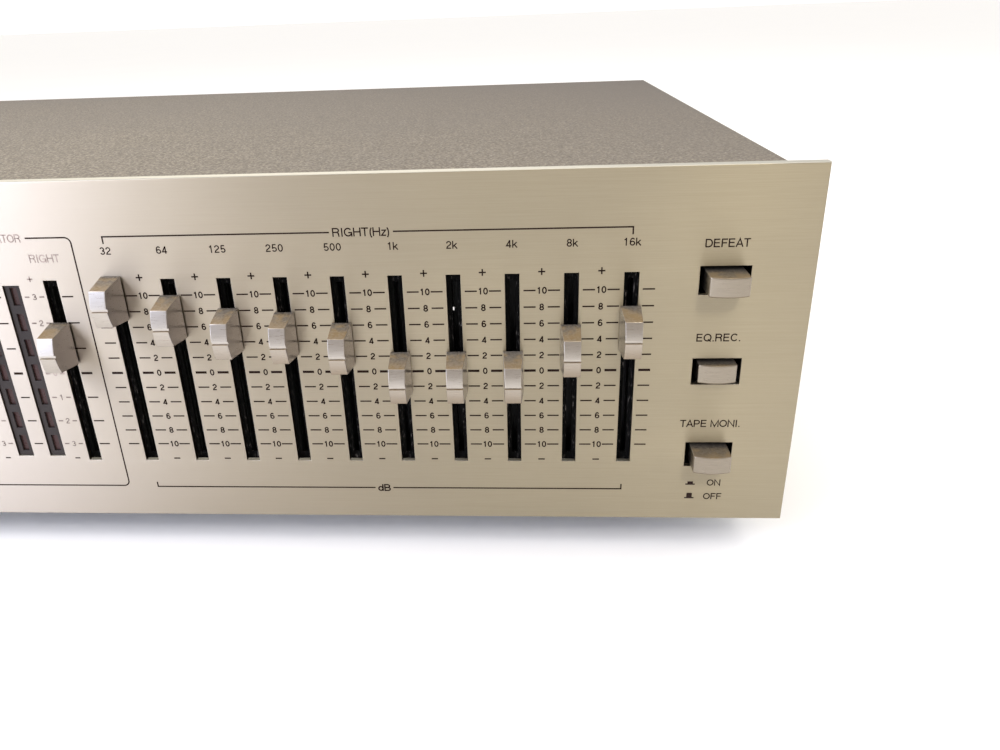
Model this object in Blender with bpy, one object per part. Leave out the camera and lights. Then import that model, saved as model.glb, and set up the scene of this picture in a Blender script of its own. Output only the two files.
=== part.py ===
"""Stereo ten-band graphic equalizer in a full-width hi-fi case.

The origin is on the table, under the middle of the bounding box.  +X points to the right as seen
from the front, the front plate faces -Y, and +Z is up.  Lengths are in millimetres and become
metres when a mesh is finished.  Shapes are drawn in plate coordinates: x across, d the depth
behind the plate's front face (negative in front of it), and z the height above the table.
"""
import math

import bmesh
import bpy
from mathutils import Matrix, Vector

MM = 0.001
GAP = 0.3                 # clearance left between pieces that touch

# Front plate and case
PLATE_WIDTH = 426.0
PLATE_HEIGHT = 100.0
PLATE_THICKNESS = 1.5
PLATE_BOTTOM = 10.0
PLATE_CHAMFER = 0.4
RIM_DEPTH = 3.0           # the plate's edge is turned back this deep all round
RIM_WIDTH = 2.0
CASE_DEPTH = 254.0        # from the plate's front face to the cover's rear edge
COVER_INSET = 6.0         # the plate reaches this far past the cover on each side
COVER_DROP = 1.0          # the cover's top lies this far below the plate's top
COVER_BOTTOM = 12.0
COVER_BEND = 2.0          # outer radius of the cover's folds
SHEET = 1.2               # thickness of the steel sheet
FOOT_RADIUS = 16.0
FOOT_X = 175.0
FOOT_DEPTHS = (35.0, 225.0)
KNOB_REACH = 9.5          # the knobs stand this far out of the plate
JACK_REACH = 8.5          # the jacks stand this far out past the cover's rear edge

# Controls on the plate; heights are measured from the scales' zero line
ZERO_LINE = PLATE_BOTTOM + 46.8
BANDS = ("32hz", "64hz", "125hz", "250hz", "500hz", "1khz", "2khz", "4khz", "8khz", "16khz")
BAND_LEVELS = (9.9, 7.5, 5.8, 5.2, 3.8, 0.0, 0.0, 0.0, 3.3, 5.5)    # stored settings, in dB
LEVEL_SETTING = 4.2       # stored setting of the two level sliders, on the same scale
MM_PER_DB = 2.25          # 45 mm of travel for -10 to +10 dB
DETENT = -0.7             # the sliders' middle detent lies just below the zero line
BAND_X = 33.1             # the innermost band's distance from the plate's middle
BAND_PITCH = 15.0
LEVEL_X = 16.0
SLOT = (3.7, 55.0)        # width and height of a slider's slot
SLOT_MIDDLE = -0.5
LENS_X = 4.8
LENS_SLOT = (4.6, 52.4)
LENS_HOLE = (5.2, 53.4)   # cleared for a lens behind the plate
LENS_WINDOW = (1.9, 5.2)
FELT_SLIT = (1.9, 50.6)
STUD_RADIUS = 1.5
LENS_ROWS = 7
LENS_ROW_PITCH = 7.5
BUTTON_X = 191.1
BUTTON_HEIGHTS = {"defeat_button": 24.5, "eq_record_button": -0.6, "tape_monitor_button": -25.7}
POWER_HEIGHT = -25.7
BUTTON_HOLE = (12.5, 7.5)
BUTTON_CAP = (10.1, 5.4)
BUTTON_OUT = 5.4          # a released cap's edge stands this far out of the plate
BUTTON_LATCHED = 1.5      # a latched cap's edge
BUTTON_CROWN = 0.95       # the cap's face is bowed out by this much

# Depths behind the plate's front face
PLATE_BACK = PLATE_THICKNESS
FELT = (PLATE_BACK + GAP, PLATE_BACK + GAP + 0.8)
SUB_PANEL = (FELT[1] + GAP, FELT[1] + GAP + SHEET)
FADER = (SUB_PANEL[1] + GAP, SUB_PANEL[1] + GAP + 8.0)
BOARD = 1.6
REAR_PANEL = (CASE_DEPTH - 2.5, CASE_DEPTH - 2.5 + SHEET)
COVER_FRONT = RIM_DEPTH + GAP

# Widths and heights of the case's shells
COVER_HALF = PLATE_WIDTH / 2 - COVER_INSET
COVER_TOP = PLATE_BOTTOM + PLATE_HEIGHT - COVER_DROP
INNER_HALF = COVER_HALF - SHEET - GAP
INNER_TOP = COVER_TOP - SHEET - GAP
FLOOR_TOP = COVER_BOTTOM + SHEET
TRAY_WALL_TOP = 36.0
SCREW_DEPTHS = (60.0, 205.0)
SCREW_HEIGHT = 26.0
STUDS = [(x, z) for x in (-201.0, -25.6, 25.6, 201.0) for z in (21.0, 101.5)]

# Rear panel
JACK_COLUMNS = {"tape_jacks": 45.0, "line_jacks": 125.0}
JACK_SPREAD = (11.0, 12.0)          # half the spacing of a block's jacks across and up
JACK_HEIGHT = 60.0
INLET_SPOT = (-178.0, 40.0)
FUSE_SPOT = (-140.0, 40.0)
GROUND_SPOT = (0.0, 40.0)

TOTAL_DEPTH = KNOB_REACH + CASE_DEPTH + JACK_REACH
FRONT_Y = KNOB_REACH - TOTAL_DEPTH / 2

MATERIALS = {
    "plate_aluminium": ((0.74, 0.70, 0.62), 1.0, 0.35),
    "knob_metal": ((0.70, 0.67, 0.63), 1.0, 0.28),
    "cover_paint": ((0.27, 0.25, 0.22), 0.2, 0.55),
    "zinc_steel": ((0.55, 0.55, 0.52), 1.0, 0.40),
    "black_felt": ((0.01, 0.01, 0.01), 0.0, 0.95),
    "lens_plastic": ((0.10, 0.06, 0.08), 0.0, 0.30),
    "board_laminate": ((0.30, 0.19, 0.08), 0.0, 0.60),
    "black_plastic": ((0.03, 0.03, 0.03), 0.0, 0.50),
    "foot_rubber": ((0.03, 0.03, 0.03), 0.0, 0.80),
    "core_iron": ((0.20, 0.19, 0.18), 0.6, 0.60),
    "jack_metal": ((0.78, 0.77, 0.74), 1.0, 0.25),
}


# ---------------------------------------------------------------- meshes

def finished(bm, name="shape"):
    """Turn a bmesh into a mesh with its faces pointing out."""
    bmesh.ops.recalc_face_normals(bm, faces=bm.faces)
    mesh = bpy.data.meshes.new(name)
    bm.to_mesh(mesh)
    bm.free()
    return mesh


def boxes(*corner_pairs):
    """One closed box for each pair of opposite corners."""
    bm = bmesh.new()
    for low, high in corner_pairs:
        low, high = Vector(low), Vector(high)
        place = Matrix.Translation((low + high) / 2) @ Matrix.Diagonal((*(high - low), 1.0))
        bmesh.ops.create_cube(bm, size=1.0, matrix=place)
    return finished(bm)


def windows(spots, size, depths):
    """Boxes of one width and height around spots on the plate, through a range of depths."""
    half_x, half_z = size[0] / 2, size[1] / 2
    return [((x - half_x, depths[0], z - half_z), (x + half_x, depths[1], z + half_z))
            for x, z in spots]


def prism(outline, axis, low, high):
    """Sweep a flat outline along "x", "d" or "z"; its points hold the other two coordinates."""
    order = "xdz".index(axis)
    bm = bmesh.new()
    corners = []
    for point in outline:
        place = list(point)
        place.insert(order, low)
        corners.append(bm.verts.new(place))
    face = bm.faces.new(corners)
    swept = bmesh.ops.extrude_face_region(bm, geom=[face])["geom"]
    step = Vector((0.0, 0.0, 0.0))
    step[order] = high - low
    moved = [part for part in swept if isinstance(part, bmesh.types.BMVert)]
    bmesh.ops.translate(bm, vec=step, verts=moved)
    return finished(bm)


def turned(profile, spots, along="d", sides=16):
    """Turn a profile of (radius, station) points about an axis along d, x or z at each spot.

    The profile's two ends are closed by flat caps.
    """
    order = "xdz".index(along)
    bm = bmesh.new()
    for spot in spots:
        rings = []
        for radius, station in profile:
            ring = []
            for step in range(sides):
                angle = 2 * math.pi * (step + 0.5) / sides
                place = [spot[0] + radius * math.cos(angle), spot[1] + radius * math.sin(angle)]
                place.insert(order, station)
                ring.append(bm.verts.new(place))
            rings.append(ring)
        for first, second in zip(rings, rings[1:]):
            for step in range(sides):
                after = (step + 1) % sides
                bm.faces.new((first[step], first[after], second[after], second[step]))
        bm.faces.new(rings[0])
        bm.faces.new(rings[-1])
    return finished(bm)


def rods(spots, radius, low, high, along="d", sides=16):
    """Plain round rods."""
    return turned([(radius, low), (radius, high)], spots, along, sides)


def combine(base, tool, operation):
    """Join two closed meshes with "UNION", or cut the second out of the first with "DIFFERENCE"."""
    pair = [bpy.data.objects.new("shape", mesh) for mesh in (base, tool)]
    for item in pair:
        bpy.context.collection.objects.link(item)
    modifier = pair[0].modifiers.new("combine", "BOOLEAN")
    modifier.solver = "EXACT"
    modifier.operation = operation
    modifier.object = pair[1]
    graph = bpy.context.evaluated_depsgraph_get()
    result = bpy.data.meshes.new_from_object(pair[0].evaluated_get(graph))
    for item in pair:
        bpy.data.objects.remove(item)
    return result


def cut(base, *tools):
    for tool in tools:
        base = combine(base, tool, "DIFFERENCE")
    return base


def join(base, *tools):
    for tool in tools:
        base = combine(base, tool, "UNION")
    return base


# ---------------------------------------------------------------- objects

def make_materials():
    made = {}
    for name, (colour, metallic, roughness) in MATERIALS.items():
        material = bpy.data.materials.new(name)
        material.use_nodes = True
        shader = material.node_tree.nodes["Principled BSDF"]
        shader.inputs["Base Color"].default_value = (*colour, 1.0)
        shader.inputs["Metallic"].default_value = metallic
        shader.inputs["Roughness"].default_value = roughness
        made[name] = material
    return made


def add_part(name, mesh, material, spot=(0.0, 0.0, 0.0)):
    """Place a mesh drawn in plate coordinates as an object; spot is the object's own origin."""
    item = bpy.data.objects.new(name, mesh)
    bpy.context.collection.objects.link(item)
    item.location = (spot[0] * MM, (spot[1] + FRONT_Y) * MM, spot[2] * MM)
    if not mesh.materials:
        mesh.transform(Matrix.Diagonal((MM, MM, MM, 1.0)))
        mesh.shade_smooth()
        mesh.set_sharp_from_angle(angle=math.radians(35))
        mesh.materials.append(material)
    return item


def band_x(index):
    return BAND_X + BAND_PITCH * index


def slider_xs():
    """Every slider's place across the plate, from left to right."""
    right = [LEVEL_X] + [band_x(index) for index in range(len(BANDS))]
    return [-x for x in reversed(right)] + right


def button_spots():
    spots = [(BUTTON_X, ZERO_LINE + height) for height in BUTTON_HEIGHTS.values()]
    return spots + [(-BUTTON_X, ZERO_LINE + POWER_HEIGHT)]


# ---------------------------------------------------------------- front

def front_panel():
    """The aluminium plate: turned-back rim, slots, lens slots, button holes and rear studs."""
    half, top = PLATE_WIDTH / 2, PLATE_BOTTOM + PLATE_HEIGHT
    bm = bmesh.new()
    bm.from_mesh(boxes(((-half, 0, PLATE_BOTTOM), (half, RIM_DEPTH, top))))
    border = [edge for edge in bm.edges if all(vert.co.y < GAP for vert in edge.verts)]
    bmesh.ops.bevel(bm, geom=border, offset=PLATE_CHAMFER, segments=1, affect="EDGES")
    hollow = boxes(((-half + RIM_WIDTH, PLATE_BACK, PLATE_BOTTOM + RIM_WIDTH),
                    (half - RIM_WIDTH, RIM_DEPTH + 1.0, top - RIM_WIDTH)))
    plate = cut(finished(bm), hollow)
    through = (-1.0, PLATE_BACK + 1.0)
    sliders = windows([(x, ZERO_LINE + SLOT_MIDDLE) for x in slider_xs()], SLOT, through)
    lenses = windows([(x, ZERO_LINE + SLOT_MIDDLE) for x in (-LENS_X, LENS_X)], LENS_SLOT, through)
    holes = windows(button_spots(), BUTTON_HOLE, through)
    studs = rods(STUDS, STUD_RADIUS, PLATE_BACK - 0.5, SUB_PANEL[1] + 4.0, sides=10)
    return join(cut(plate, boxes(*sliders, *lenses, *holes)), studs)


def sub_panel():
    """The steel panel behind the plate that carries the faders, lenses and switches."""
    sheet = boxes(((-INNER_HALF, SUB_PANEL[0], COVER_BOTTOM + GAP), (INNER_HALF, SUB_PANEL[1], INNER_TOP)))
    through = (SUB_PANEL[0] - 1.0, SUB_PANEL[1] + 1.0)
    middle = ZERO_LINE + SLOT_MIDDLE
    levers = windows([(x, middle) for x in slider_xs()], (5.0, SLOT[1]), through)
    lenses = windows([(x, middle) for x in (-LENS_X, LENS_X)], LENS_HOLE, through)
    holes = windows(button_spots(), (BUTTON_HOLE[0] + 1.0, BUTTON_HOLE[1] + 1.0), through)
    return cut(sheet, boxes(*levers, *lenses, *holes), rods(STUDS, STUD_RADIUS + 0.4, *through, sides=10))


def dust_felt(xs, margin, lens_xs=()):
    """A strip of felt behind the plate's slots, slit for the levers."""
    middle = ZERO_LINE + SLOT_MIDDLE
    half_height = SLOT[1] / 2 + 3.0
    strip = boxes(((min(xs) - margin, FELT[0], middle - half_height),
                   (max(xs) + margin, FELT[1], middle + half_height)))
    through = (FELT[0] - 1.0, FELT[1] + 1.0)
    slits = windows([(x, ZERO_LINE + DETENT) for x in xs], FELT_SLIT, through)
    lenses = windows([(x, middle) for x in lens_xs], LENS_HOLE, through)
    return cut(strip, boxes(*slits, *lenses))


def slider():
    """A slider's knob with the lever that carries it; the origin is on the index line.

    The sides lean in towards the front, so the half-width depends on the reach alone.
    """
    base, front = (0.8, 2.6), (KNOB_REACH, 2.1)          # reach and half-width
    groove = KNOB_REACH - 0.6                            # the index groove's floor
    outline = [(0.8, 6.55), (8.3, 5.1), (KNOB_REACH, 0.45), (groove, 0.4),
               (groove, -0.4), (KNOB_REACH - 0.1, -0.45), (8.2, -4.95), (0.8, -5.7)]
    bm = bmesh.new()
    sides = []
    for sign in (-1, 1):
        loop = []
        for reach, height in outline:
            share = (reach - base[0]) / (front[0] - base[0])
            half = base[1] + (front[1] - base[1]) * share
            loop.append(bm.verts.new((sign * half, -reach, height)))
        sides.append(loop)
        bm.faces.new(loop)
    for step in range(len(outline)):
        after = (step + 1) % len(outline)
        bm.faces.new((sides[0][step], sides[0][after], sides[1][after], sides[1][step]))
    lever = boxes(((-0.6, -2.0, -2.0), (0.6, FADER[1] - 2.0, 2.0)))
    return join(finished(bm), lever)


def fader_bank(xs, margin):
    """Slide potentiometers side by side on their board, as one comb swept up its height."""
    half, throat = 4.5, 1.3
    floor = FADER[1] - 1.2
    outline = [(max(xs) + margin, FADER[1]), (max(xs) + margin, FADER[1] + BOARD),
               (min(xs) - margin, FADER[1] + BOARD), (min(xs) - margin, FADER[1])]
    for x in sorted(xs):
        outline += [(x - half, FADER[1]), (x - half, FADER[0]), (x - throat, FADER[0]), (x - throat, floor),
                    (x + throat, floor), (x + throat, FADER[0]), (x + half, FADER[0]), (x + half, FADER[1])]
    middle = ZERO_LINE + DETENT
    return prism(outline, "z", middle - 31.0, middle + 31.0)


def lens(x):
    """The tinted bar that fills a lens slot, with one shallow window for each lamp."""
    middle = ZERO_LINE + SLOT_MIDDLE
    half_x, half_z = LENS_SLOT[0] / 2 - GAP, LENS_SLOT[1] / 2 - GAP
    bar = boxes(((x - half_x, 0.5, middle - half_z), (x + half_x, SUB_PANEL[1] + GAP, middle + half_z)))
    rows = [ZERO_LINE + LENS_ROW_PITCH * (row - LENS_ROWS // 2) for row in range(LENS_ROWS)]
    return cut(bar, boxes(*windows([(x, z) for z in rows], LENS_WINDOW, (0.0, 0.9))))


def level_display_board():
    """The board behind the two lenses, with its connector."""
    front = SUB_PANEL[1] + 2 * GAP
    board = boxes(((-9.0, front, ZERO_LINE - 29.0), (9.0, front + BOARD, ZERO_LINE + 29.0)))
    plug = boxes(((-7.0, front + 1.0, ZERO_LINE - 27.0), (7.0, front + 9.0, ZERO_LINE - 20.0)))
    return join(board, plug)


def button():
    """A push button's bowed cap on its square stem; the origin is at the cap's edge, centred."""
    half_x, half_z = BUTTON_CAP[0] / 2, BUTTON_CAP[1] / 2
    steps = 8
    radius = (half_x ** 2 + BUTTON_CROWN ** 2) / (2 * BUTTON_CROWN)
    outline = []
    for step in range(steps + 1):
        x = -half_x + 2 * half_x * step / steps
        outline.append((x, radius - BUTTON_CROWN - math.sqrt(radius ** 2 - x ** 2)))
    cap_back = BUTTON_OUT + 5.5
    outline += [(half_x, cap_back), (-half_x, cap_back)]
    stem = boxes(((-2.0, cap_back - 1.0, -1.6), (2.0, BUTTON_OUT + 30.0, 1.6)))
    return join(prism(outline, "z", -half_z, half_z), stem)


def switch_stack(x, heights):
    """Push switches one above another on a board; the throats take the buttons' stems."""
    front, throat_end, back = 18.0, 38.0, 42.0
    low, high = min(heights) - 9.0, max(heights) + 9.0
    outline = [(back, high), (back + BOARD, high), (back + BOARD, low), (back, low)]
    for z in sorted(heights):
        outline += [(back, z - 5.0), (front, z - 5.0), (front, z - 2.2), (throat_end, z - 2.2),
                    (throat_end, z + 2.2), (front, z + 2.2), (front, z + 5.0), (back, z + 5.0)]
    return prism(outline, "x", x - 5.5, x + 5.5)


# ---------------------------------------------------------------- shells

def top_cover():
    """The folded steel cover: a top and two sides with round folds, and its screw holes."""
    outline = []
    for half, top, radius in ((COVER_HALF, COVER_TOP, COVER_BEND),
                              (COVER_HALF - SHEET, COVER_TOP - SHEET, COVER_BEND - SHEET)):
        run = [(-half, COVER_BOTTOM)]
        for side in (-1, 1):
            for step in range(5):
                turn = math.radians(90.0 * step / 4)
                turn = turn if side < 0 else math.pi / 2 - turn
                x = side * (half - radius + radius * math.cos(turn))
                run.append((x, top - radius + radius * math.sin(turn)))
        run.append((half, COVER_BOTTOM))
        outline += run if not outline else run[::-1]
    shell = prism(outline, "d", COVER_FRONT, CASE_DEPTH)
    return cut(shell, side_holes())


def side_holes():
    """Cutters for the cover screws, through both sides of the case."""
    spots = [(depth, SCREW_HEIGHT) for depth in SCREW_DEPTHS]
    return rods(spots, 1.9, -COVER_HALF - 5.0, COVER_HALF + 5.0, along="x", sides=12)


def bottom_chassis():
    """The tray: a floor with a low wall along each side."""
    low, top = COVER_BOTTOM, FLOOR_TOP
    wall = INNER_HALF - SHEET
    outline = [(-INNER_HALF, low), (INNER_HALF, low), (INNER_HALF, TRAY_WALL_TOP), (wall, TRAY_WALL_TOP),
               (wall, top), (-wall, top), (-wall, TRAY_WALL_TOP), (-INNER_HALF, TRAY_WALL_TOP)]
    tray = prism(outline, "d", SUB_PANEL[1] + GAP, REAR_PANEL[0] - GAP)
    return cut(tray, side_holes())


def rear_panel():
    """The back of the case, with holes for the jacks, the inlet, the fuse and the ground post."""
    sheet = boxes(((-INNER_HALF, REAR_PANEL[0], COVER_BOTTOM), (INNER_HALF, REAR_PANEL[1], INNER_TOP)))
    through = (REAR_PANEL[0] - 1.0, REAR_PANEL[1] + 1.0)
    jacks = [spot for x in JACK_COLUMNS.values() for spot in jack_spots(x)]
    inlet = boxes(*windows([INLET_SPOT], (22.0, 14.0), through))
    return cut(sheet, rods(jacks, 5.0, *through, sides=14), inlet, rods([FUSE_SPOT], 6.6, *through),
               rods([GROUND_SPOT], 2.4, *through, sides=10))


def foot():
    """A round moulded foot; the origin is at its middle on the table."""
    profile = [(FOOT_RADIUS - 3.0, 0.0), (FOOT_RADIUS - 1.0, 1.0), (FOOT_RADIUS, COVER_BOTTOM - GAP - 1.0),
               (FOOT_RADIUS - 0.6, COVER_BOTTOM - GAP)]
    return turned(profile, [(0.0, 0.0)], along="z", sides=24)


def cover_screw(side):
    """A pan-head screw with its shank through the cover and the tray's wall."""
    head = COVER_HALF + GAP
    profile = [(1.5, side * (INNER_HALF - 5.0)), (1.5, side * head), (3.6, side * head),
               (3.6, side * (head + 0.8)), (2.4, side * (head + 1.9)), (0.6, side * (head + 2.1))]
    return turned(profile, [(0.0, 0.0)], along="x", sides=12)


# ---------------------------------------------------------------- rear fittings

def jack_spots(x):
    across, up = JACK_SPREAD
    return [(x + side * across, JACK_HEIGHT + level * up) for side in (-1, 1) for level in (-1, 1)]


def jack_block(x):
    """Four phono jacks on a laminate strip fixed inside the rear panel."""
    back = REAR_PANEL[0] - GAP
    strip = boxes(((x - 20.0, back - 2.0, JACK_HEIGHT - 22.0), (x + 20.0, back, JACK_HEIGHT + 22.0)))
    tip = CASE_DEPTH + JACK_REACH
    profile = [(2.5, back - 9.0), (2.5, back - 1.0), (4.2, back - 1.0), (4.2, tip),
               (1.7, tip), (1.7, tip - 8.0)]
    return join(strip, turned(profile, jack_spots(x), sides=14))


def ac_inlet():
    """A two-pin mains inlet: a flanged housing with an oblong recess and two round pins."""
    x, z = INLET_SPOT
    outer = REAR_PANEL[1] + GAP
    face = outer + 2.2
    body = boxes(((x - 10.5, outer - 17.0, z - 6.5), (x + 10.5, outer + 1.0, z + 6.5)))
    flange = boxes(((x - 15.0, outer, z - 8.5), (x + 15.0, face, z + 8.5)))
    recess = boxes(((x - 8.0, face - 10.0, z - 4.2), (x + 8.0, face + 1.0, z + 4.2)))
    pins = rods([(x - 4.3, z), (x + 4.3, z)], 1.2, face - 11.0, face - 1.5, sides=8)
    return join(cut(join(body, flange), recess), pins)


def fuse_holder():
    """A panel fuse holder with its screw cap."""
    outer = REAR_PANEL[1] + GAP
    profile = [(4.5, outer - 34.0), (6.2, outer - 30.0), (6.2, outer), (8.0, outer), (8.0, outer + 1.5),
               (6.4, outer + 1.5), (5.8, outer + 7.0)]
    return turned(profile, [FUSE_SPOT], sides=16)


def ground_terminal():
    """A ground post with its thumb nut."""
    outer = REAR_PANEL[1] + GAP
    profile = [(2.0, outer - 8.0), (2.0, outer), (4.5, outer), (4.5, outer + 4.0), (3.2, outer + 5.0),
               (2.0, outer + 5.0), (2.0, outer + 7.0)]
    return turned(profile, [GROUND_SPOT], sides=12)


# ---------------------------------------------------------------- electronics

def posts(spots, radius, low, high):
    """Round standoffs between the floor and a board."""
    return rods(spots, radius, low, high, along="z", sides=8)


def circuit_board(low, high, chips, cans, can_size):
    """A board on corner standoffs, with the chips and round cans that are soldered to it."""
    deck = 24.0
    board = boxes(((low[0], low[1], deck), (high[0], high[1], deck + BOARD)))
    corners = [(x, d) for x in (low[0] + 6.0, high[0] - 6.0) for d in (low[1] + 6.0, high[1] - 6.0)]
    chip_boxes = [((x - 4.0, d - 9.0, deck + 1.0), (x + 4.0, d + 9.0, deck + 5.5)) for x, d in chips]
    return join(board, posts(corners, 3.0, FLOOR_TOP + GAP, deck + 0.5), boxes(*chip_boxes),
                posts(cans, can_size[0], deck + 1.0, deck + can_size[1]))


def transformer():
    """An iron core on its flange, with the winding through it."""
    x, d, bottom = -165.0, 170.0, FLOOR_TOP + GAP
    return boxes_joined(((x - 30.0, d - 13.0, bottom + 2.0), (x + 30.0, d + 13.0, bottom + 50.0)),
                        ((x - 38.0, d - 13.5, bottom), (x + 38.0, d + 13.5, bottom + 3.0)),
                        ((x - 19.0, d - 25.0, bottom + 10.0), (x + 19.0, d + 25.0, bottom + 42.0)))


def boxes_joined(first, *others):
    """Overlapping boxes as one body."""
    return join(boxes(first), *[boxes(pair) for pair in others])


# ---------------------------------------------------------------- assembly

def add_front(paint):
    middle_xs = (-LEVEL_X, LEVEL_X)
    right_xs = [band_x(index) for index in range(len(BANDS))]
    left_xs = [-x for x in reversed(right_xs)]
    add_part("front_panel", front_panel(), paint["plate_aluminium"])
    add_part("sub_panel", sub_panel(), paint["zinc_steel"])
    add_part("left_dust_felt", dust_felt(left_xs, 5.0), paint["black_felt"])
    add_part("right_dust_felt", dust_felt(right_xs, 5.0), paint["black_felt"])
    add_part("level_dust_felt", dust_felt(middle_xs, 4.0, (-LENS_X, LENS_X)), paint["black_felt"])
    add_part("left_fader_bank", fader_bank(left_xs, 6.5), paint["board_laminate"])
    add_part("right_fader_bank", fader_bank(right_xs, 6.5), paint["board_laminate"])
    add_part("left_level_fader", fader_bank([-LEVEL_X], 5.5), paint["board_laminate"])
    add_part("right_level_fader", fader_bank([LEVEL_X], 5.5), paint["board_laminate"])
    add_part("left_level_lens", lens(-LENS_X), paint["lens_plastic"])
    add_part("right_level_lens", lens(LENS_X), paint["lens_plastic"])
    add_part("level_display_board", level_display_board(), paint["board_laminate"])


def add_sliders(paint):
    """Every slider shares one mesh and stands at its own setting."""
    mesh = slider()
    for side, sign in (("left", -1), ("right", 1)):
        settings = [(f"{side}_level_slider", LEVEL_X, LEVEL_SETTING)]
        for index, (band, level) in enumerate(zip(BANDS, BAND_LEVELS)):
            # both banks run from low to high frequency, left to right
            x = band_x(index) if sign > 0 else band_x(len(BANDS) - 1 - index)
            settings.append((f"{side}_{band}_slider", x, level))
        for name, x, level in settings:
            height = ZERO_LINE + DETENT + level * MM_PER_DB
            add_part(name, mesh, paint["knob_metal"], (sign * x, 0.0, height))


def add_buttons(paint):
    mesh = button()
    for name, height in BUTTON_HEIGHTS.items():
        reach = BUTTON_LATCHED if name == "eq_record_button" else BUTTON_OUT
        add_part(name, mesh, paint["knob_metal"], (BUTTON_X, -reach, ZERO_LINE + height))
    add_part("power_button", mesh, paint["knob_metal"], (-BUTTON_X, -BUTTON_OUT, ZERO_LINE + POWER_HEIGHT))
    heights = [ZERO_LINE + height for height in BUTTON_HEIGHTS.values()]
    add_part("function_switch_bank", switch_stack(BUTTON_X, heights), paint["black_plastic"])
    add_part("power_switch", switch_stack(-BUTTON_X, [ZERO_LINE + POWER_HEIGHT]), paint["black_plastic"])


def add_shells(paint):
    add_part("top_cover", top_cover(), paint["cover_paint"])
    add_part("bottom_chassis", bottom_chassis(), paint["zinc_steel"])
    add_part("rear_panel", rear_panel(), paint["cover_paint"])
    foot_mesh = foot()
    screws = {-1: cover_screw(-1), 1: cover_screw(1)}
    for side, sign in (("left", -1), ("right", 1)):
        for end, foot_depth, screw_depth in zip(("front", "rear"), FOOT_DEPTHS, SCREW_DEPTHS):
            add_part(f"{side}_{end}_foot", foot_mesh, paint["foot_rubber"], (sign * FOOT_X, foot_depth, 0.0))
            add_part(f"{side}_{end}_cover_screw", screws[sign], paint["zinc_steel"],
                     (0.0, screw_depth, SCREW_HEIGHT))


def add_rear_fittings(paint):
    for name, x in JACK_COLUMNS.items():
        add_part(name, jack_block(x), paint["jack_metal"])
    add_part("ac_inlet", ac_inlet(), paint["black_plastic"])
    add_part("fuse_holder", fuse_holder(), paint["black_plastic"])
    add_part("ground_terminal", ground_terminal(), paint["jack_metal"])


def add_electronics(paint):
    chips = [(x, 110.0) for x in range(-75, 181, 28)]
    cans = [(x, 150.0) for x in range(-61, 181, 28)]
    equalizer = circuit_board((-105.0, 75.0), (195.0, 175.0), chips, cans, (4.0, 14.0))
    supply = circuit_board((-198.0, 75.0), (-125.0, 135.0), [(-190.0, 105.0)],
                           [(-172.0, 105.0), (-147.0, 105.0)], (10.5, 35.0))
    add_part("equalizer_board", equalizer, paint["board_laminate"])
    add_part("power_supply_board", supply, paint["board_laminate"])
    add_part("transformer", transformer(), paint["core_iron"])


def main():
    for item in list(bpy.data.objects):
        bpy.data.objects.remove(item)
    paint = make_materials()
    add_front(paint)
    add_sliders(paint)
    add_buttons(paint)
    add_shells(paint)
    add_rear_fittings(paint)
    add_electronics(paint)


main()
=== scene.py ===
import math

import bmesh
import bpy
from mathutils import Matrix, Vector


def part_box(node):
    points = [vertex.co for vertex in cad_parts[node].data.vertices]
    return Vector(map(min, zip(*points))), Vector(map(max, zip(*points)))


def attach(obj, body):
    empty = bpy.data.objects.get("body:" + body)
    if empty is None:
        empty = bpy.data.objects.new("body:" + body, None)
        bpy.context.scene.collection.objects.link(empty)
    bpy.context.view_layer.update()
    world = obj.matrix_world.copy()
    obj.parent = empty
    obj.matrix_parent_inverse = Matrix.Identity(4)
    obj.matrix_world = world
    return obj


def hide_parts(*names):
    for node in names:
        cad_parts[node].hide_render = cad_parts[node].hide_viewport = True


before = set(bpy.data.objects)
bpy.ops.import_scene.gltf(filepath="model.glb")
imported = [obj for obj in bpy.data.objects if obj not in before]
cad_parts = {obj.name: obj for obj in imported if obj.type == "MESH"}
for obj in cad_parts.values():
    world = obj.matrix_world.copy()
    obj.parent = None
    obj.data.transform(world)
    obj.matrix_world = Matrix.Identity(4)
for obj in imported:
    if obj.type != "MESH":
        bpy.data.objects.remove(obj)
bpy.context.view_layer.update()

MM = 0.001
CHASSIS = "chassis"

# ---------------------------------------------------------------- places read from the frame

PLATE_LOW, PLATE_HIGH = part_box("front_panel")
FRONT = PLATE_LOW.y                       # the plate's front face
PLATE_WEB = 1.5 * MM                      # the plate's thickness inside its turned-back rim
RIM_DEPTH = 3.0 * MM
RIM_WIDTH = 2.0 * MM
STUD_RADIUS = 1.4 * MM                    # the plate's studs and their places in millimetres
STUD_XS = (-201.0, -25.6, 25.6, 201.0)
STUD_ZS = (21.0, 101.5)
ZERO_LINE = PLATE_LOW.z + 46.8 * MM       # the scales' zero line
ROW = 4.5 * MM                            # 2 dB on the scales
LAMP_ROW = 7.5 * MM                       # from one lamp window to the next
BANDS = ("32", "64", "125", "250", "500", "1k", "2k", "4k", "8k", "16k")
NUMBERS = ("10", "8", "6", "4", "2", "0", "2", "4", "6", "8", "10")
SLOT_WIDTH, SLOT_HEIGHT = 3.7 * MM, 55.0 * MM
SLOT_MIDDLE = ZERO_LINE - 0.5 * MM
KNOB_TOP = 6.55 * MM                      # from a knob's index line up to its base's upper edge
CAP_WIDTH, CAP_HEIGHT = 10.1 * MM, 5.4 * MM
CAP_CROWN = 0.95 * MM                     # how far a button's face is bowed out
HOLE_WIDTH, HOLE_HEIGHT = 12.5 * MM, 7.5 * MM


def centre(node):
    low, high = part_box(node)
    return (low + high) / 2


def node_of_band(side, band):
    return f"{side}_{band}hz_slider"


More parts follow.
